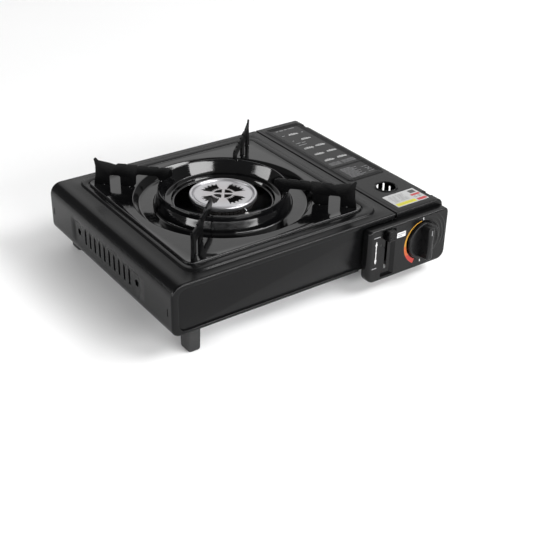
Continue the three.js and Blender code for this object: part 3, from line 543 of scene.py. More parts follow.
def buildTopCase(d):
    outline, window = roundedLine(d["outline"]), roundedLine(d["window"])
    at = places(outline, 9.0)
    outer, inner = along(outline, at), along(window, at)
    inward = -leftOf(outer)
    slotYs = d["firstSlot"] + np.arange(d["slots"]) * d["slotPitch"]
    borders = np.concatenate([slotYs - d["slotPitch"] / 2, slotYs[-1:] + d["slotPitch"] / 2])
    fine = (borders[:-1, None] + np.linspace(0, 1, 5)[None, :-1] * d["slotPitch"]).ravel()
    far = [np.arange(12, 60, 8), np.arange(217, 256, 8), d["topEnds"][1], *[[y, y + 1.7] for y in d["tabs"]]]
    columns = np.unique(np.round(np.concatenate([fine, borders[-1:], d["nearHoles"], *far]), 3))
    points, before = foldedSkin(outer, inner, inward, d["fold"], columns, d["depth"])
    keep = np.ones((points.shape[0] - 1, points.shape[1] - 1), bool)
    row = lambda z: nearest(outer[:, 1], z, outer[:, 0] > 0.01)
    column = lambda y: before + nearest(columns, y)
    for y in d["tabs"]:
        keep[row(d["tabRows"][0]):row(d["tabRows"][1]), column(y)] = False
    lip = (outer[:-1, 0] > 29) & (outer[:-1, 1] < 1)
    keep[lip, column(d["lipDepth"]):column(d["depth"] - d["lipDepth"] - 0.7)] = False
    ventRows = [row(z) for z in d["ventRows"]]
    patches = []
    for y in slotYs:
        at = [y, d["slotMiddle"]]
        block = cutBlock(points, keep, ventRows, [column(y + side * d["slotPitch"] / 2) for side in (-1, 1)])
        patches.append(holePatch(block, [1, 2], at, lambda p: boxDistance(p, at, d["slotHalf"], 0.9), 1))
    for y, ends in zip(d["holes"], d["holeEnds"]):
        at = [y, d["slotMiddle"]]
        block = cutBlock(points, keep, ventRows, [column(end) for end in ends])
        patches.append(holePatch(block, [1, 2], at, lambda p: circleDistance(p, at, d["holeRadius"]), 1))
    across = lambda x: nearest(outer[:, 0], x, outer[:, 1] < caseTop - 0.01)
    xEnds, yEnds = d["topEnds"]
    border = cutBlock(points, keep, [across(x) for x in xEnds], [column(y) for y in yEnds])
    centre, half, r = d["field"]
    loops = [border]
    for out in np.linspace(d["fieldSlope"] / 2, -d["fieldSlope"] / 2, 7):
        loop = border.copy()
        loop[:, :2] = onOutline(border[:, :2], centre, lambda p: boxDistance(p, centre, half, r) - out)
        loop[:, 2] += d["fieldRise"] * (1 - ease(out, -d["fieldSlope"] / 2, d["fieldSlope"] / 2))
        loops.append(loop)
    for out, drop in d["groove"]:
        loop = loops[-1].copy()
        seat = lambda p: boxDistance(p, burner, [d["seat"][0]] * 2, d["seat"][1]) - out
        loop[:, :2] = onOutline(border[:, :2], burner, seat)
        loop[:, 2] = border[:, 2] + d["fieldRise"] + drop
        loops.append(loop)
    last = loops[-1]
    rim = last.copy()
    rim[:, :2] = onOutline(last[:, :2], burner, lambda p: circleDistance(p, burner, d["opening"]))
    loops += [last * (1 - k) + rim * k for k in (0.33, 0.67, 1.0)]
    patches.append(loopPatch(loops, flip=True))
    patches.insert(0, gridPatch(points, keep=keep))
    sunk = []
    for p, f in patches:
        p = p.copy()
        out = boxDistance(p[:, 1:], *d["ventPanel"])
        p[:, 0] += np.where(p[:, 0] < 0.5, d["ventPanelDepth"] * (1 - ease(out, -0.75, 0.75)), 0)
        sunk.append((p, f))
    return sunk


makePiece("case_top", buildTopCase(topCase), casePaint, "chassis", ["top_case"], "case_paint",
          wall=topCase["wall"], angle=40)
print("top case made")

# ---- canister lid: arched sheet with skirts, embossed frame, sight hole with a raised rim
lid = {
    "outline": [[276.6, 53, 0], [276.6, caseTop, 1.3], [279, caseTop, 0], [334, caseTop, 0], [343, caseTop, 7],
                [343, 47.5, 0]],
    "front": 0.3, "depth": 266.2, "fold": 1.4, "wall": 0.8, "low": 47.5,
    "frame": [[308.5, 172.0], [24.5, 84.0], 4.0], "frameHeight": 0.9, "divider": 125.5,
    "sight": [308.5, 55.5], "sightRadius": 10.7, "rimRadius": 12.1, "rimHeight": 1.1, "sightBlock": 17,
    "notches": [20.0, 246.5], "notchHalf": 6.0, "bend": 334.0, "earAway": 7.2, "earHalf": 0.6,
    "ear": [[336.5, 48, 2.4], [342, 48, 2.4], [342.3, 53.5, 0], [337.5, 56.1, 0], [336.5, 56.1, 0]],
    "sideStep": 281.0,
}


# Embossing: a bell of the distance to the frame outline, a bar across it, a ring at the sight hole and a low step.
def lidHeight(x, y, d):
    p = np.stack([x, y], -1)
    out = boxDistance(p, *d["frame"])
    ridge = np.exp(-((out / 1.0) ** 2)) + 0.7 * np.exp(-(((out + 3.4) / 0.8) ** 2))
    bar = np.exp(-(((y - d["divider"]) / 1.0) ** 2)) * (out < 0)
    ring = np.exp(-(((circleDistance(p, d["sight"], d["rimRadius"])) / 1.1) ** 2)) * d["rimHeight"]
    side = ease(x, d["sideStep"] - 0.8, d["sideStep"] + 0.8)
    return d["frameHeight"] * np.maximum(ridge, bar) + ring + 0.25 * side


def buildLid(d):
    outline = roundedLine(d["outline"])
    outer = divided(outline, 0.9)
    inner = np.stack([outer[:, 0], np.minimum(np.full(len(outer), d["low"]), outer[:, 1])], 1)
    inward = -leftOf(outer)
    t = np.linspace(0, np.pi / 2, 5)
    rows = [(inner, 0.0), (inner * 0.3 + (outer + inward * d["fold"]) * 0.7, 0.0)]
    rows += [(outer + inward * d["fold"] * (1 - np.sin(a)), d["fold"] * (1 - np.cos(a))) for a in t]
    front = [stood(p, y + d["front"]) for p, y in rows]
    frameY, frameHalf = d["frame"][0][1], d["frame"][1][1]
    fine = [np.arange(e - 5, e + 5, 0.8) for e in (frameY - frameHalf, frameY + frameHalf, d["divider"])]
    middles = [(y, d["notchHalf"]) for y in d["notches"]] + [(d["sight"][1], d["sightBlock"])]
    edges = [(y - half, y + half) for y, half in middles]
    columns = np.unique(np.round(np.concatenate([*fine, *edges, np.arange(4, 262, 4.0)]), 2))
    points = sheetGrid(front, outer, columns, d["front"] + d["depth"])
    keep = np.ones((points.shape[0] - 1, points.shape[1] - 1), bool)
    column = lambda y: len(front) + nearest(columns, y)
    across = lambda x: nearest(outer[:, 0], x, outer[:, 1] < caseTop - 0.01)
    for y in d["notches"]:
        keep[across(d["bend"]):, column(y - d["notchHalf"]):column(y + d["notchHalf"])] = False
    ends = [(at - d["sightBlock"], at + d["sightBlock"]) for at in d["sight"]]
    border = cutBlock(points, keep, [across(x) for x in ends[0]], [column(y) for y in ends[1]])
    hole = lambda p: circleDistance(p, d["sight"], d["sightRadius"])
    patches = [gridPatch(points, keep=keep), holePatch(border, [0, 1], d["sight"], hole, 12, [(0, 0, -0.5)])]
    raised = []
    for p, f in patches:
        p = p.copy()
        top = (p[:, 2] > 55.9) & (p[:, 0] > 278.5) & (p[:, 0] < 334.5) & (p[:, 1] > 2.5) & (p[:, 1] < 264)
        p[:, 2] += np.where(top, lidHeight(p[:, 0], p[:, 1], d), 0)
        raised.append((p, f))
    return raised


# Hinge ears: rounded tabs that carry the pins, bent down from the lid beside each notch.
def hingeEars(d):
    ears = []
    shape = roundedLine(d["ear"], True, 4)
    for y in d["notches"]:
        for middle in (y - d["earAway"], y + d["earAway"]):
            ears.append(plate(shape, "y", middle - d["earHalf"], middle + d["earHalf"]))
    return ears


makePiece("lid_sheet", buildLid(lid), casePaint, "lid", ["canister_lid"], "case_paint",
          wall=lid["wall"], angle=40)
makePiece("lid_ears", hingeEars(lid), casePaint, "lid", (), "case_paint", bevel=0.2, closed=True)


# Thin printed shapes: each is an outline laid just above a surface along z or just in front of one along y.
def printedShape(name, outlines, axis, low, high, material, body):
    return makePiece(name, [plate(o, axis, low, high) for o in outlines], material, body, closed=True, angle=30)


def bar(x0, y0, x1, y1, r=0.0, steps=3):
    return roundedLine([[x0, y0, r], [x1, y0, r], [x1, y1, r], [x0, y1, r]], True, steps)


def turnedBar(x, y, length, width, angle, r=0.3):
    c, s = np.cos(angle), np.sin(angle)
    return bar(-length / 2, -width / 2, length / 2, width / 2, r) @ np.array([[c, s], [-s, c]]) + [x, y]


lidTop = 56.75
printedShape("lid_sticker", [bar(287, 9.5, 331, 37.3, 1.2, 5)], "z", lidTop, lidTop + 0.14, sticker, "lid")
lidMarks = {
    "pictures": [(309, 231.0), (314.5, 212.5), (300.5, 187.6), (317.3, 187.8),
                 (300.6, 167.2), (319.1, 167.6), (300.1, 147.2), (318.8, 147.6)],
    "blocks": [(-5.9, 3.4, 2.0), (-1.9, 1.8, 2.9), (0.5, 2.8, 2.2), (4.0, 1.8, 1.5)],
    "heading": [(294.5, 3.6), (299.4, 6), (306.6, 4.6), (312.4, 9.4)],
    "captions": [(292.4, 231, 4.2), (321, 230, 3), (295, 212.6, 2.8), (294, 204, 7), (302.5, 203.6, 5.4),
                 (294, 198, 12)],
    "columns": [(291.5, 16), (309.5, 19)], "list": [20, 17, 22, 15], "whiteHigh": 0.06, "greyHigh": 0.05,
}
whiteBars = []
for x, y in lidMarks["pictures"]:  # a lying bar with four small blocks behind it
    whiteBars.append(turnedBar(x, y - 0.6, 13.6, 2.1, -0.05, 0.8))
    whiteBars += [bar(x + a, y - 0.2, x + a + w, y + h, 0.4) for a, w, h in lidMarks["blocks"]]
printedShape("lid_marks_white", whiteBars, "z", lidTop, lidTop + lidMarks["whiteHigh"], whiteInk, "lid")
greyBars = [bar(x, 246.2, x + w, 248.6, 0.4) for x, w in lidMarks["heading"]]
greyBars += [bar(x, y, x + w, y + 1.6, 0.4) for x, y, w in lidMarks["captions"]]
greyBars += [bar(x, y, x + w, y + 0.7, 0.2) for y in np.arange(131.5, 139, 2.0) for x, w in lidMarks["columns"]]
listRows = zip(np.arange(92.5, 118, 2.3), np.resize(lidMarks["list"], 12))
greyBars += [bar(292.6, y, 292.6 + w, y + 0.8, 0.2) for y, w in listRows]
greyBars += [bar(292.5, 87.2, 328, 87.9, 0.2), bar(292.5, 89.2, 326, 89.9, 0.2)]
greyBars += [turnedBar(324, 105, 8.4, 1.0, a) for a in (0.8, -0.8)]
greyBars += [turnedBar(324, y, 9, 0.7, 0) for y in (111.5, 98.5)]
printedShape("lid_marks_grey", greyBars, "z", lidTop, lidTop + lidMarks["greyHigh"], greyInk, "lid")
print("lid made")

# ---- drip pan: pressed sheet; profile [radius, height above the deck] from the hole rim out to the deck
pan = {
    "profile": [[53.0, -7.4, 0], [53.0, -6.3, 0.8], [54.8, -6.3, 0.9], [56.4, -3.0, 0.9], [63.0, -3.0, 1.6],
                [69.0, 10.7, 0.8], [70.4, 10.7, 0.7], [71.2, 4.0, 1.2], [75.6, -8.5, 2.5], [91.0, -8.5, 4.0],
                [97.2, 0.0, 1.8], [100.0, 0.0, 0]],
    "half": 108.75, "corner": 9.0, "wall": 0.9,
    "hem": [[2.6, 0.0], [1.9, 0.22], [1.3, 0.3], [0.7, 0.22], [0.25, -0.05], [0.0, -0.4], [0.0, -0.75]],
}


def buildPan(d):
    half = d["half"]
    corners = [[half * x, half * y, d["corner"]] for x, y in ((1, -1), (1, 1), (-1, 1), (-1, -1))]
    square = divided(roundedLine(corners, True, 10), 3.4, True) + burner
    angles = np.arctan2(square[:, 1] - burner[1], square[:, 0] - burner[0])
    profile = divided(roundedLine(d["profile"], steps=6), 2.2)
    ring = np.stack([np.cos(angles), np.sin(angles)], 1)
    loops = [np.column_stack([burner + ring * r, np.full(len(ring), deckZ + z)]) for r, z in profile]
    edge = []
    for inset, z in d["hem"]:
        line = onOutline(square, burner, lambda p: boxDistance(p, burner, [half, half], d["corner"]) + inset)
        edge.append(np.column_stack([line, np.full(len(ring), deckZ + z)]))
    deck = [loops[-1] * (1 - k) + edge[0] * k for k in (0.25, 0.5, 0.75)]
    return [loopPatch(loops + deck + edge)]


makePiece("pan_sheet", buildPan(pan), panEnamel, "pan", ["drip_pan"], "enamel", wall=pan["wall"], angle=50)
print("drip pan made")

# ---- pot supports: blanked sheet, outline [radius from the burner, height above the deck]
support = {
    "foot": [[56, 17, 3], [63, 12.4, 1.5], [65.6, 10.7, 0], [71.5, 10.7, 0], [72.6, 15, 3], [97, 15, 4],
             [97.6, 3, 1], [100, 0.3, 0], [115, 0.3, 0], [115, 11.5, 2.2], [127.5, 11.5, 2.2], [127.5, 0.3, 0],
             [145, 0.3, 0], [143.2, 10, 5], [142.6, 21, 4]],
    "horn": [[144, 29.2, 0.6], [142, 30.4, 0.6], [139.2, 27.3, 1.5], [127, 25.6, 3], [119.5, 23.9, 2]],
    "teeth": 5, "toothTop": 25.6, "toothLow": 24.4, "start": 117.0, "inner": 56.0, "thick": 1.8,
}


def supportOutline(d):
    pitch = (d["start"] - d["inner"] - 1) / d["teeth"]
    teeth = []
    for k in range(d["teeth"]):
        r = d["start"] - k * pitch
        teeth.append([r, d["toothTop"], 0.7])
        teeth += [[r - pitch * 0.74, d["toothTop"] + 0.25, 0.9], [r - pitch * 0.88, d["toothLow"], 0.6]]
    shape = d["foot"] + d["horn"] + teeth + [[d["inner"], d["toothLow"] + 0.5, 2]]
    return roundedLine(shape, True, 4)


def buildSupport(d, angle):
    outline = supportOutline(d)
    points, faces = plate(outline, "y", -d["thick"] / 2, d["thick"] / 2)
    c, s = np.cos(angle), np.sin(angle)
    moved = np.stack([points[:, 0] * c - points[:, 1] * s, points[:, 0] * s + points[:, 1] * c, points[:, 2]], 1)
    return moved + [*burner, deckZ], faces


# Weld spots: low domes where the supports stand on the pan, [radius, height, distance from the sheet's middle].
weldPlaces = [(105, 0.0, 1.6), (134, 0.0, 1.6), (105, 0.0, -1.6), (134, 0.0, -1.6),
              (69.0, 10.3, 1.3), (69.0, 10.3, -1.3)]


def weldSpots(angle):
    dome = np.array([[0.01, 1.3], [0.8, 1.2], [1.4, 0.8], [1.8, 0.2], [2.1, -0.2]])
    spots = []
    for r, z, side in weldPlaces:
        x = burner[0] + r * np.cos(angle) - side * np.sin(angle)
        y = burner[1] + r * np.sin(angle) + side * np.cos(angle)
        spots.append(turned(dome * [0.8, 0.8], [x, y, deckZ + z], sides=14))
    return spots


for name, degrees in (("rear_right", 45), ("rear_left", 135), ("front_left", 225), ("front_right", 315)):
    angle = np.radians(degrees)
    makePiece("support_" + name, [buildSupport(support, angle)], supportEnamel, "pan", ["pot_support_" + name],
              "enamel", bevel=0.35, closed=True, angle=35)
    makePiece("welds_" + name, weldSpots(angle), panEnamel, "pan", (), "enamel", closed=True, weld=1e-5)
print("pot supports made")

# ---- burner: plated cap with toothed slots, dark head below it, ceramic electrode
cap = {
    "top": 60.9, "wall": 0.9, "slotTurn": 12.0, "slotHalf": 27.0, "tooth": 6.0, "crossTurn": -35.5, "step": 1.5,
    "face": [0.8, 2.1, 3.4, 5.0, 7.0, 9.0, 10.6, 11.6, 12.6, 13.4, 14.2, 16.0, 18.4, 20.6, 22.0, 23.0, 24.2, 25.4,
             27.5, 29.5, 31.4],
    "edge": [[31.8, 60.3], [32.1, 59.7], [32.7, 59.7], [33.2, 60.6], [33.7, 61.7], [34.2, 62.15], [34.9, 62.3],
             [35.9, 62.25], [36.6, 61.8], [36.95, 61.0], [37.0, 59.5], [36.9, 58.2], [36.4, 57.2], [35.6, 56.7]],
}


# Cap face: polar grid; a cell is left out inside a slot, whose edges step in and out by one cell to form teeth.
def buildCap(d):
    face = np.array(d["face"])
    crown = np.column_stack([face, d["top"] + 0.25 * np.cos(face / face[-1] * np.pi / 2)])
    profile = np.vstack([crown, d["edge"]])
    angles = np.radians(np.arange(0, 360, d["step"]))
    degrees = np.degrees(angles) + d["step"] / 2
    ring = (np.mod(degrees - d["slotTurn"] + 45, 90) - 45)[None, :]
    r = ((profile[:-1, 0] + profile[1:, 0]) / 2)[:, None]
    odd = np.mod(np.floor((ring + 90) / d["tooth"]), 2) == 0
    kidney = (np.abs(ring) < d["slotHalf"]) & (((r > 13.0) & (r < 23.2)) | (odd & (r > 12.0) & (r < 25.0)))
    cross = np.mod(degrees - d["crossTurn"] + 45, 90) - 45
    off = np.abs(np.sin(np.radians(cross)))[None, :] * r
    quarter = (off > 1.5) & (r > 2.0) & (r < 10.7)
    keep = ~(kidney | quarter)
    points, faces = turned(profile, [*burner, 0], angles=angles, keep=keep)
    hub = turned(np.array([[0.01, d["top"] + 0.25], [0.8, d["top"] + 0.25]]), [*burner, 0], angles=angles)
    return [(points, faces), hub]


makePiece("cap_plated", buildCap(cap), capPlating, "chassis", ["burner_cap"], "plated_steel",
          wall=cap["wall"], bevel=0.18, angle=40, weld=2e-5)

head = {
    "profile": [[0.01, 20.3, 0], [18, 20.3, 1], [20, 24, 1], [20, 40, 3], [27, 45.6, 4], [33, 49.5, 2], [34.2, 53, 1],
                [34.2, 56.2, 0.3], [31.6, 56.2, 0.3], [31, 50.8, 1], [25, 47.4, 3], [18, 41.6, 2], [18, 24, 0.5],
                [17, 22.3, 0], [0.01, 22.3, 0]],
    "ports": 48,
}


# Head: turned profile; its upper rim is pressed in at each gas port by a cosine of the angle.
def buildHead(d):
    profile = roundedLine(d["profile"], steps=4)[::-1]
    a = np.linspace(0, 2 * np.pi, d["ports"] * 6, endpoint=False)
    r, z = profile[:, :1], profile[:, 1:2]
    port = np.maximum(0, np.cos(a * d["ports"]))[None, :] ** 2 * ease(z, 50.5, 53.5) * (r > 32)
    r = r - 0.9 * port
    x, y = burner[0] + r * np.cos(a), burner[1] + r * np.sin(a)
    points = np.stack([x, y, np.broadcast_to(z, x.shape)], -1)
    return [gridPatch(points, closeColumns=True)]


makePiece("head_cast", buildHead(head), headMetal, "chassis", ["burner_head"], "cast_iron", closed=True, weld=1e-5)

electrode = {
    "at": [145.0, 90.0, 0.0],
    "profile": [[0.01, 28, 0], [1.6, 28, 0.3], [1.6, 34, 0.3], [3, 34.6, 0.4], [3, 45.4, 0.6], [2.5, 46.2, 0.4],
                [2.7, 47.6, 0.4], [2.35, 48.6, 0.4], [2.55, 50, 0.4], [2.2, 51, 0.4], [2.2, 55.2, 0.6],
                [1.2, 56, 0.3], [0.01, 56, 0]],
    "wire": [[145, 90, 56.2], [145, 90.2, 57.2], [145, 90.8, 58.1], [145, 92, 58.9], [145, 93.9, 59.6]],
    "wireRadius": 0.7,
}
profile = roundedLine(electrode["profile"], steps=3)[::-1]
makePiece("electrode_ceramic", [turned(profile, electrode["at"], sides=40)], ceramic, "chassis",
          ["electrode_insulator"], "insulator", closed=True, weld=1e-5)


# A round rod along a line: circle of the radius in the plane across each point's direction.
def rod(line, radius, sides=12):
    line = np.array(line, float)
    way = np.gradient(line, axis=0)
    way /= np.linalg.norm(way, axis=1, keepdims=True)
    side = np.cross(way, [0.31, 0.2, 0.93])
    side /= np.linalg.norm(side, axis=1, keepdims=True)
    up = np.cross(way, side)
    a = np.linspace(0, 2 * np.pi, sides, endpoint=False)
    c, s = np.cos(a)[None, :, None], np.sin(a)[None, :, None]
    loops = line[:, None] + radius * (c * side[:, None] + s * up[:, None])
    return loopPatch(list(loops), capStart=True, capEnd=True)


makePiece("electrode_wire", [rod(electrode["wire"], electrode["wireRadius"])], screwSteel, "chassis",
          ["electrode_pin"], "steel", closed=True)
print("burner made")

# ---- control panel: rounded shell; its face is two fields, one round the lever channel and one round the knob
panel = {
    "outline": [[231.5, -12.3, 10], [271, -12.3, 0], [343, -12.3, 10], [343, 50.2, 5.5], [271, 50.2, 0],
                [231.5, 50.2, 4.5]],
    "ridges": [(28.3, 0.7, 1.0), (32.6, 0.7, 1.0), (24.2, 0.6, 0.8)], "ridgeHeight": 0.45,
    "back": -0.3, "edge": 1.9, "leftEdge": 2.2, "wall": 1.7, "split": 271.0,
    "channel": [[258.7, 19.6], [9.3, 27.9], 1.6], "channelFloor": [250.2, 264.0], "channelDepth": 3.0,
    "slot": [[258.0, 23.05], [1.7, 24.05], 0.8], "ring": 22.6, "recess": 0.7, "bore": 5.0,
}


# Panel face height: low ridges that run round the knob at its upper right, each a bell of the distance to its circle.
def panelRidge(points, d):
    away = np.linalg.norm(points[:, [0, 2]] - knobAt, axis=1)
    side = ease(points[:, 0] - knobAt[0], 2.0, 12.0) * ease(points[:, 2] - knobAt[1], -16.0, -4.0)
    ridge = sum(share * np.exp(-(((away - radius) / width) ** 2)) for radius, width, share in d["ridges"])
    near = np.abs(points[:, 1] - panelY) < 0.02
    return np.where(near, -d["ridgeHeight"] * ridge * side, 0)


def buildPanel(d):
    outline = divided(roundedLine(d["outline"], True, 8), 1.3, True)
    inward = leftOf(outline, True)
    edge = d["edge"] + d["leftEdge"] * np.clip(inward[:, :1], 0, 1) ** 2
    t = np.linspace(0, np.pi / 2, 7)
    skin = [stood(outline, d["back"]), stood(outline, (panelY + 6))]
    skin += [stood(outline + inward * edge * (1 - np.cos(a)), (panelY + edge * (1 - np.sin(a)))[:, 0]) for a in t]
    patches = [loopPatch(skin, flip=True)]
    ringLine = outline + inward * edge
    middle = np.where(np.abs(outline[:, 0] - d["split"]) < 1e-6)[0]
    low, high = sorted(middle, key=lambda i: ringLine[i, 1])
    line = np.linspace(ringLine[low], ringLine[high], 50)
    order = np.arange(len(outline))
    right = ringLine[np.roll(order, -low)[: (high - low) % len(outline) + 1]]
    left = ringLine[np.roll(order, -high)[: (low - high) % len(outline) + 1]]
    rightLoop = np.vstack([right, line[::-1][1:-1]])
    leftLoop = np.vstack([left, line[1:-1]])
    share = np.linspace(0, 1, 14)
    channel = onOutline(leftLoop, d["channel"][0], lambda p: boxDistance(p, *d["channel"]))
    floor = channel.copy()
    (middleX, _), (halfX, _), _ = d["channel"]
    floorLeft, floorRight = d["channelFloor"]
    floor[:, 0] = floorLeft + (channel[:, 0] - middleX + halfX) / (2 * halfX) * (floorRight - floorLeft)
    slot = onOutline(floor, d["slot"][0], lambda p: boxDistance(p, *d["slot"]))
    deep = panelY + d["channelDepth"]
    loops = [stood(leftLoop * (1 - k) + channel * k, panelY) for k in share[::2]]
    walls = ((0.0, panelY), (0.03, panelY + 0.25), (0.97, deep - 0.2), (1.0, deep))
    loops += [stood(channel * (1 - k) + floor * k, y) for k, y in walls]
    loops += [stood(floor * (1 - k) + slot * k, deep) for k in (0.5, 1.0)] + [stood(slot, deep + 0.5)]
    patches.append(loopPatch(loops, flip=True))
    circle = onOutline(rightLoop, knobAt, lambda p: circleDistance(p, knobAt, d["ring"]))
    bore = onOutline(rightLoop, knobAt, lambda p: circleDistance(p, knobAt, d["bore"]))
    k = np.linspace(0, 1, 34)
    loops = [stood(rightLoop * (1 - s) + circle * s, panelY) for s in k]
    sunk = ((0.01, panelY + 0.15), (0.03, panelY + d["recess"]), (1.0, panelY + d["recess"]))
    loops += [stood(circle * (1 - s) + bore * s, y) for s, y in sunk]
    patches.append(loopPatch(loops, flip=True))
    raised = []
    for p, f in patches:
        p = p.copy()
        p[:, 1] += panelRidge(p, d)
        raised.append((p, f))
    return raised


makePiece("panel_shell", buildPanel(panel), panelPlastic, "chassis", ["control_box"], "black_plastic",
          wall=panel["wall"], angle=35)

# Double arrow for the lever, marks above and below it, white sticker, dial band and ticks, all without letters.
arrow = np.array([[0, 28], [1.5, 23], [0.6, 22], [0.4, 16], [0.8, 14], [0.4, 12], [0.6, 6], [1.5, 5], [0, 0]])
arrow = np.vstack([arrow, arrow[-2:0:-1] * [-1, 1]])[::-1]
faceY = panelY - 0.09
printedShape("lever_arrow", [arrow + [241.4, 10]], "y", faceY, panelY + 0.01, whiteInk, "chassis")
leverMarks = [bar(237.6, 41.6, 246.2, 42.8, 0.3), bar(237.2, 4.6, 243.6, 5.8, 0.3)]
printedShape("lever_marks", leverMarks, "y", faceY, panelY + 0.01, greyInk, "chassis")
printedShape("panel_sticker", [bar(269.6, 33.2, 281.6, 39.4, 0.6)], "y", faceY, panelY + 0.01, whiteInk, "chassis")
stickerBars = [bar(271, 36.9, 280.2, 37.9, 0.2), bar(271, 34.6, 276.6, 35.6, 0.2)]
printedShape("panel_sticker_bars", stickerBars, "y", faceY - 0.03, faceY + 0.01, greyInk, "chassis")


# Band between two circles about the knob whose width grows with the angle.
def dialOutline(first, last, inner, thin, wide):
    a = np.radians(np.linspace(first, last, 60))
    share = np.linspace(0, 1, 60) ** 1.6
    out = inner + thin + (wide - thin) * share
    ring = lambda r: knobAt + np.column_stack([r * np.cos(a), r * np.sin(a)])
    return np.vstack([ring(np.full(60, inner)), ring(out)[::-1]])


printedShape("dial_band", [dialOutline(97, 246, 23.0, 1.0, 5.4)], "y", faceY, panelY + 0.01, dial, "chassis")
ticks = []
for a in np.radians([92, 268]):
    ticks.append(turnedBar(*(knobAt + 25.6 * np.array([np.cos(a), np.sin(a)])), 3.0, 0.9, a))
printedShape("dial_ticks", ticks, "y", faceY - 0.02, panelY + 0.01, whiteInk, "chassis")
print("control panel made")

# ---- knob: dished disc with a grip bar across it
knob = {"radius": 21.5, "disc": 3.5, "proud": 14.15, "gripLength": 39.4, "gripWidth": 10.0, "tip": 8.4}


def buildKnob(d):
    back, front = panelY - 0.3, panelY - 0.3 - d["disc"]
    radius, dish = d["radius"], front + 0.9
    profile = roundedLine([[0.01, back, 0], [radius - 0.4, back, 0.4], [radius, back - 1, 0.5],
                           [radius - 0.5, front, 1.1], [radius - 3.2, front, 0.6], [radius - 4, dish, 0.6],
                           [0.01, dish, 0]], steps=5)
    disc = turned(profile, [knobAt[0], 0, knobAt[1]], "y", 128)
    halfWidth, halfLength = d["gripWidth"] / 2, d["gripLength"] / 2
    outline = divided(bar(-halfWidth, -halfLength, halfWidth, halfLength, 2.6, 6), 1.5, True)
    top = panelY - d["proud"]
    base = front + 1.1
    place = lambda p, y: stood(p + knobAt, top - y)
    narrow = outline * [d["tip"] / d["gripWidth"], 0.985]
    waist = 1 - 0.16 * np.cos(narrow[:, 1] / halfLength * np.pi / 2) ** 2
    narrow[:, 0] *= waist
    rim = cushionLoops(narrow, place, 1.4, 0.35, 6, 5)
    foot = stood(outline + knobAt, base)
    grip = loopPatch([foot, foot * 0.5 + rim[0] * 0.5, *rim], capStart=True, capEnd=True)
    return [disc, grip]


makePiece("knob_body", buildKnob(knob), knobPlastic, "knob", ["control_knob"], "black_plastic", closed=True, angle=42)
mark = [bar(knobAt[0] - 0.5, knobAt[1] + 10.5, knobAt[0] + 0.5, knobAt[1] + 16.6, 0.4)]
printedShape("knob_mark", mark, "y", panelY - knob["proud"] - 0.42, panelY - knob["proud"] + 0.1, greyInk, "knob")

# ---- lock lever: ribbed finger piece on an arm
lever = {
    "width": 10.0, "height": 12.0, "top": 47.5, "proud": 7.0,
    "ribs": 4, "ribMargin": 2.6, "ribRadius": 0.6, "ribHalf": 3.7,
    "armHalf": 1, "armBack": 14, "armBelow": [10.5, 1.5],
}


def buildLever(d):
    z0, z1 = d["top"] - d["height"], d["top"]
    outline = divided(bar(leverX - d["width"] / 2, z0, leverX + d["width"] / 2, z1, 1.4, 5), 1.0, True)
    front, back = panelY - d["proud"], panelY + 2.4
    place = lambda p, y: stood(p, front + 0.5 - y)
    rim = cushionLoops(outline, place, 1.1, 0.0, 5, 4)
    foot = stood(outline, back)
    patches = [loopPatch([foot, *rim], capStart=True, capEnd=True)]
    half = np.linspace(0, np.pi, 9)
    for z in np.linspace(z0 + d["ribMargin"], z1 - d["ribMargin"], d["ribs"]):
        r = d["ribRadius"]
        section = np.column_stack([front + r - r * np.sin(half), z + r * np.cos(half)])
        patches.append(plate(section, "x", leverX - d["ribHalf"], leverX + d["ribHalf"]))
    (low, high), end = [z1 - below for below in d["armBelow"]], d["armBack"]
    arm = roundedLine([[back - 0.5, low, 0], [end, low, 1], [end, high, 1], [back - 0.5, high, 0]], True, 3)
    patches.append(plate(arm, "x", leverX - d["armHalf"], leverX + d["armHalf"]))
    return patches


makePiece("lever_body", buildLever(lever), leverPlastic, "lever", ["lock_lever"], "black_plastic",
          closed=True, angle=40)

# ---- feet: tapered rubber blocks with a flange and a rounded sole
feet = {
    "foot_front_left": [19, 3, 0], "foot_rear_left": [19, 245.5, 0],
    "foot_front_right": [308, 28, -12.3], "foot_rear_right": [308, 245.5, -12.3],
}
footSize = [14.5, 18.0]
footFlange = [(0.45, -0.3), (0.5, -1.2), (0.1, -1.8), (0.0, -3.0)]  # outgrowth and height from the top
footSole = [(-0.35, -23.6), (-0.5, -24.6), (-0.8, -25.3), (-1.2, -25.75), (-1.8, -26.0)]  # and in the case's frame


def buildFoot(x, y, top):
    size = np.array(footSize)
    centre = np.array([x, y]) + size / 2
    loops = []
    for grow, z in [(grow, top + z) for grow, z in footFlange] + footSole:
        half = size / 2 + grow
        line = bar(-half[0], -half[1], half[0], half[1], 2.6, 6) + centre
        loops.append(np.column_stack([line, np.full(len(line), z)]))
    return [loopPatch(loops, flip=True, capStart=True, capEnd=True)]


for name, (x, y, top) in feet.items():
    makePiece(name.replace("foot_", "rubber_"), buildFoot(x, y, top), footRubber, "chassis", [name], "rubber",
              closed=True, angle=50)
print("knob, lever and feet made")

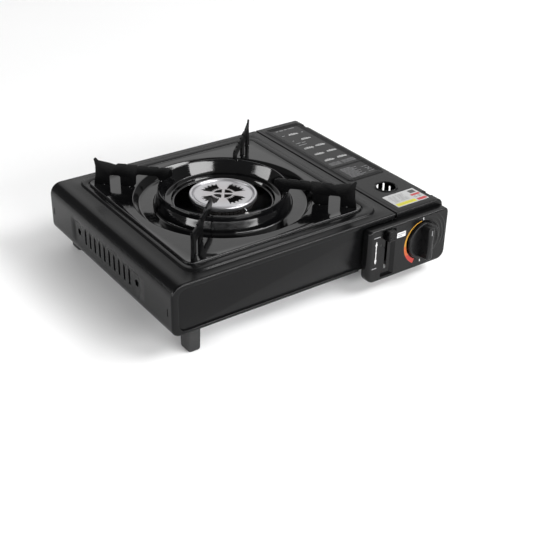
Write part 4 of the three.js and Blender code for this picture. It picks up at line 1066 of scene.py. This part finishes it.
# ---- the other pieces keep their shape, merged and smoothed, with their own finishes
smoothed = [
    (casePaint, "chassis", "case_paint",
     ["front_panel", "rear_panel", "canister_tray", "right_side_wall", "bay_rear_wall"]),
    (zinc, "chassis", "steel", ["front_bulkhead", "mixing_tube", "air_shutter", "burner_bracket"]),
    (brass, "chassis", "brass", ["inlet_nozzle", "gas_jet"]),
    (valveMetal, "chassis", "cast_iron", ["regulator_body"]),
    (screwSteel, "knob", "steel", ["valve_spindle"]),
    (leadSleeve, "chassis", "lead", ["ignition_lead"]),
    (screwSteel, "lid", "steel", ["lid_hinge_pin_front", "lid_hinge_pin_rear"]),
]
for material, body, slotName, nodes in smoothed:
    for node in nodes:
        smoothCopy(node, material, body, slotName, bevel=0.0 if node in ("ignition_lead", "mixing_tube") else 0.15)
kept = {
    "base_plate": zinc, "heat_partition": zinc, "heat_plate": zinc, "push_rod": zinc, "detent_spring": screwSteel,
    "regulator_cover": zinc, "piezo_igniter": panelPlastic,
    **{f"base_screw_{i}": screwSteel for i in range(1, 5)}, **{f"rear_screw_{i}": screwSteel for i in (1, 2)},
    **{f"bracket_screw_{i}": screwSteel for i in (1, 2)},
}
for node, material in kept.items():
    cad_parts[node].data.materials.clear()
    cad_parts[node].data.materials.append(material)
print("kept nodes painted")

# ---- floor, light and camera
floorMesh = bpy.data.meshes.new("floor")
floorMesh.from_pydata([[-6, -6, -0.0002], [6, -6, -0.0002], [6, 6, -0.0002], [-6, 6, -0.0002]], [], [[0, 1, 2, 3]])
floor = bpy.data.objects.new("floor", floorMesh)
bpy.context.scene.collection.objects.link(floor)
floorFinish = Finish("floor_paper", Roughness=0.9)
floorTone = floorFinish.blend(floorFinish.noise(3, 2), (0.9, 0.9, 0.9), (0.93, 0.93, 0.93))
floorMesh.materials.append(floorFinish.set(floorTone))

world = bpy.data.worlds.new("studio")
bpy.context.scene.world = world
world.use_nodes = True
world.node_tree.nodes["Background"].inputs[0].default_value = (1, 1, 1, 1)
world.node_tree.nodes["Background"].inputs[1].default_value = 0.2


def softLight(name, place, size, power):
    data = bpy.data.lights.new(name, "AREA")
    data.shape = "RECTANGLE"
    data.size, data.size_y = size
    data.energy = power
    lamp = bpy.data.objects.new(name, data)
    bpy.context.scene.collection.objects.link(lamp)
    lamp.location = place
    lamp.rotation_euler = (Vector(studio["target"]) - Vector(place)).to_track_quat("-Z", "Y").to_euler()


# Place, size and power of each soft light; the three low ones are seen in the pan's walls.
studio = {
    "target": (0, 0, 0.05), "sunFrom": (0.62, -0.30, 1.0), "sunPower": 0.9, "sunWidth": 50,
    "rear": ((1.05, 1.55, 1.15), (2.6, 1.4), 10.5), "front": ((0.35, -2.1, 0.85), (1.8, 0.45), 40),
    "side": ((-2.0, 0.7, 0.55), (1.5, 0.35), 18), "edge": ((1.3, -1.25, 1.77), (1.5, 0.5), 36),
    "low": ((-1.4, -2.05, 0.29), (1.9, 0.26), 20), "low_left": ((-2.4, -0.75, 0.29), (1.9, 0.26), 20),
    "low_right": ((0.1, -2.5, 0.29), (1.9, 0.26), 20),
}
sunData = bpy.data.lights.new("sun", "SUN")
sunData.energy, sunData.angle = studio["sunPower"], np.radians(studio["sunWidth"])
sun = bpy.data.objects.new("sun", sunData)
bpy.context.scene.collection.objects.link(sun)
sun.rotation_euler = Vector(studio["sunFrom"]).to_track_quat("Z", "Y").to_euler()
for name in ("rear", "front", "side", "edge", "low", "low_left", "low_right"):
    softLight(name, *studio[name])

view = {"place": (-0.5723, -0.8350, 0.5870), "target": (-0.01832, -0.05713, 0.026), "roll": 1.09, "lens": 69.83}
cameraData = bpy.data.cameras.new("camera")
cameraData.lens, cameraData.sensor_width = view["lens"], 36
camera = bpy.data.objects.new("camera", cameraData)
bpy.context.scene.collection.objects.link(camera)
backward = (Vector(view["place"]) - Vector(view["target"])).normalized()
rightWay = Vector((0, 0, 1)).cross(backward).normalized()
upWay = backward.cross(rightWay)
c, s = np.cos(np.radians(view["roll"])), np.sin(np.radians(view["roll"]))
matrix = Matrix((c * rightWay + s * upWay, -s * rightWay + c * upWay, backward)).transposed().to_4x4()
matrix.translation = Vector(view["place"])
camera.matrix_world = matrix
bpy.context.scene.camera = camera

bpy.context.scene.view_settings.view_transform = "Standard"
print("stage set")
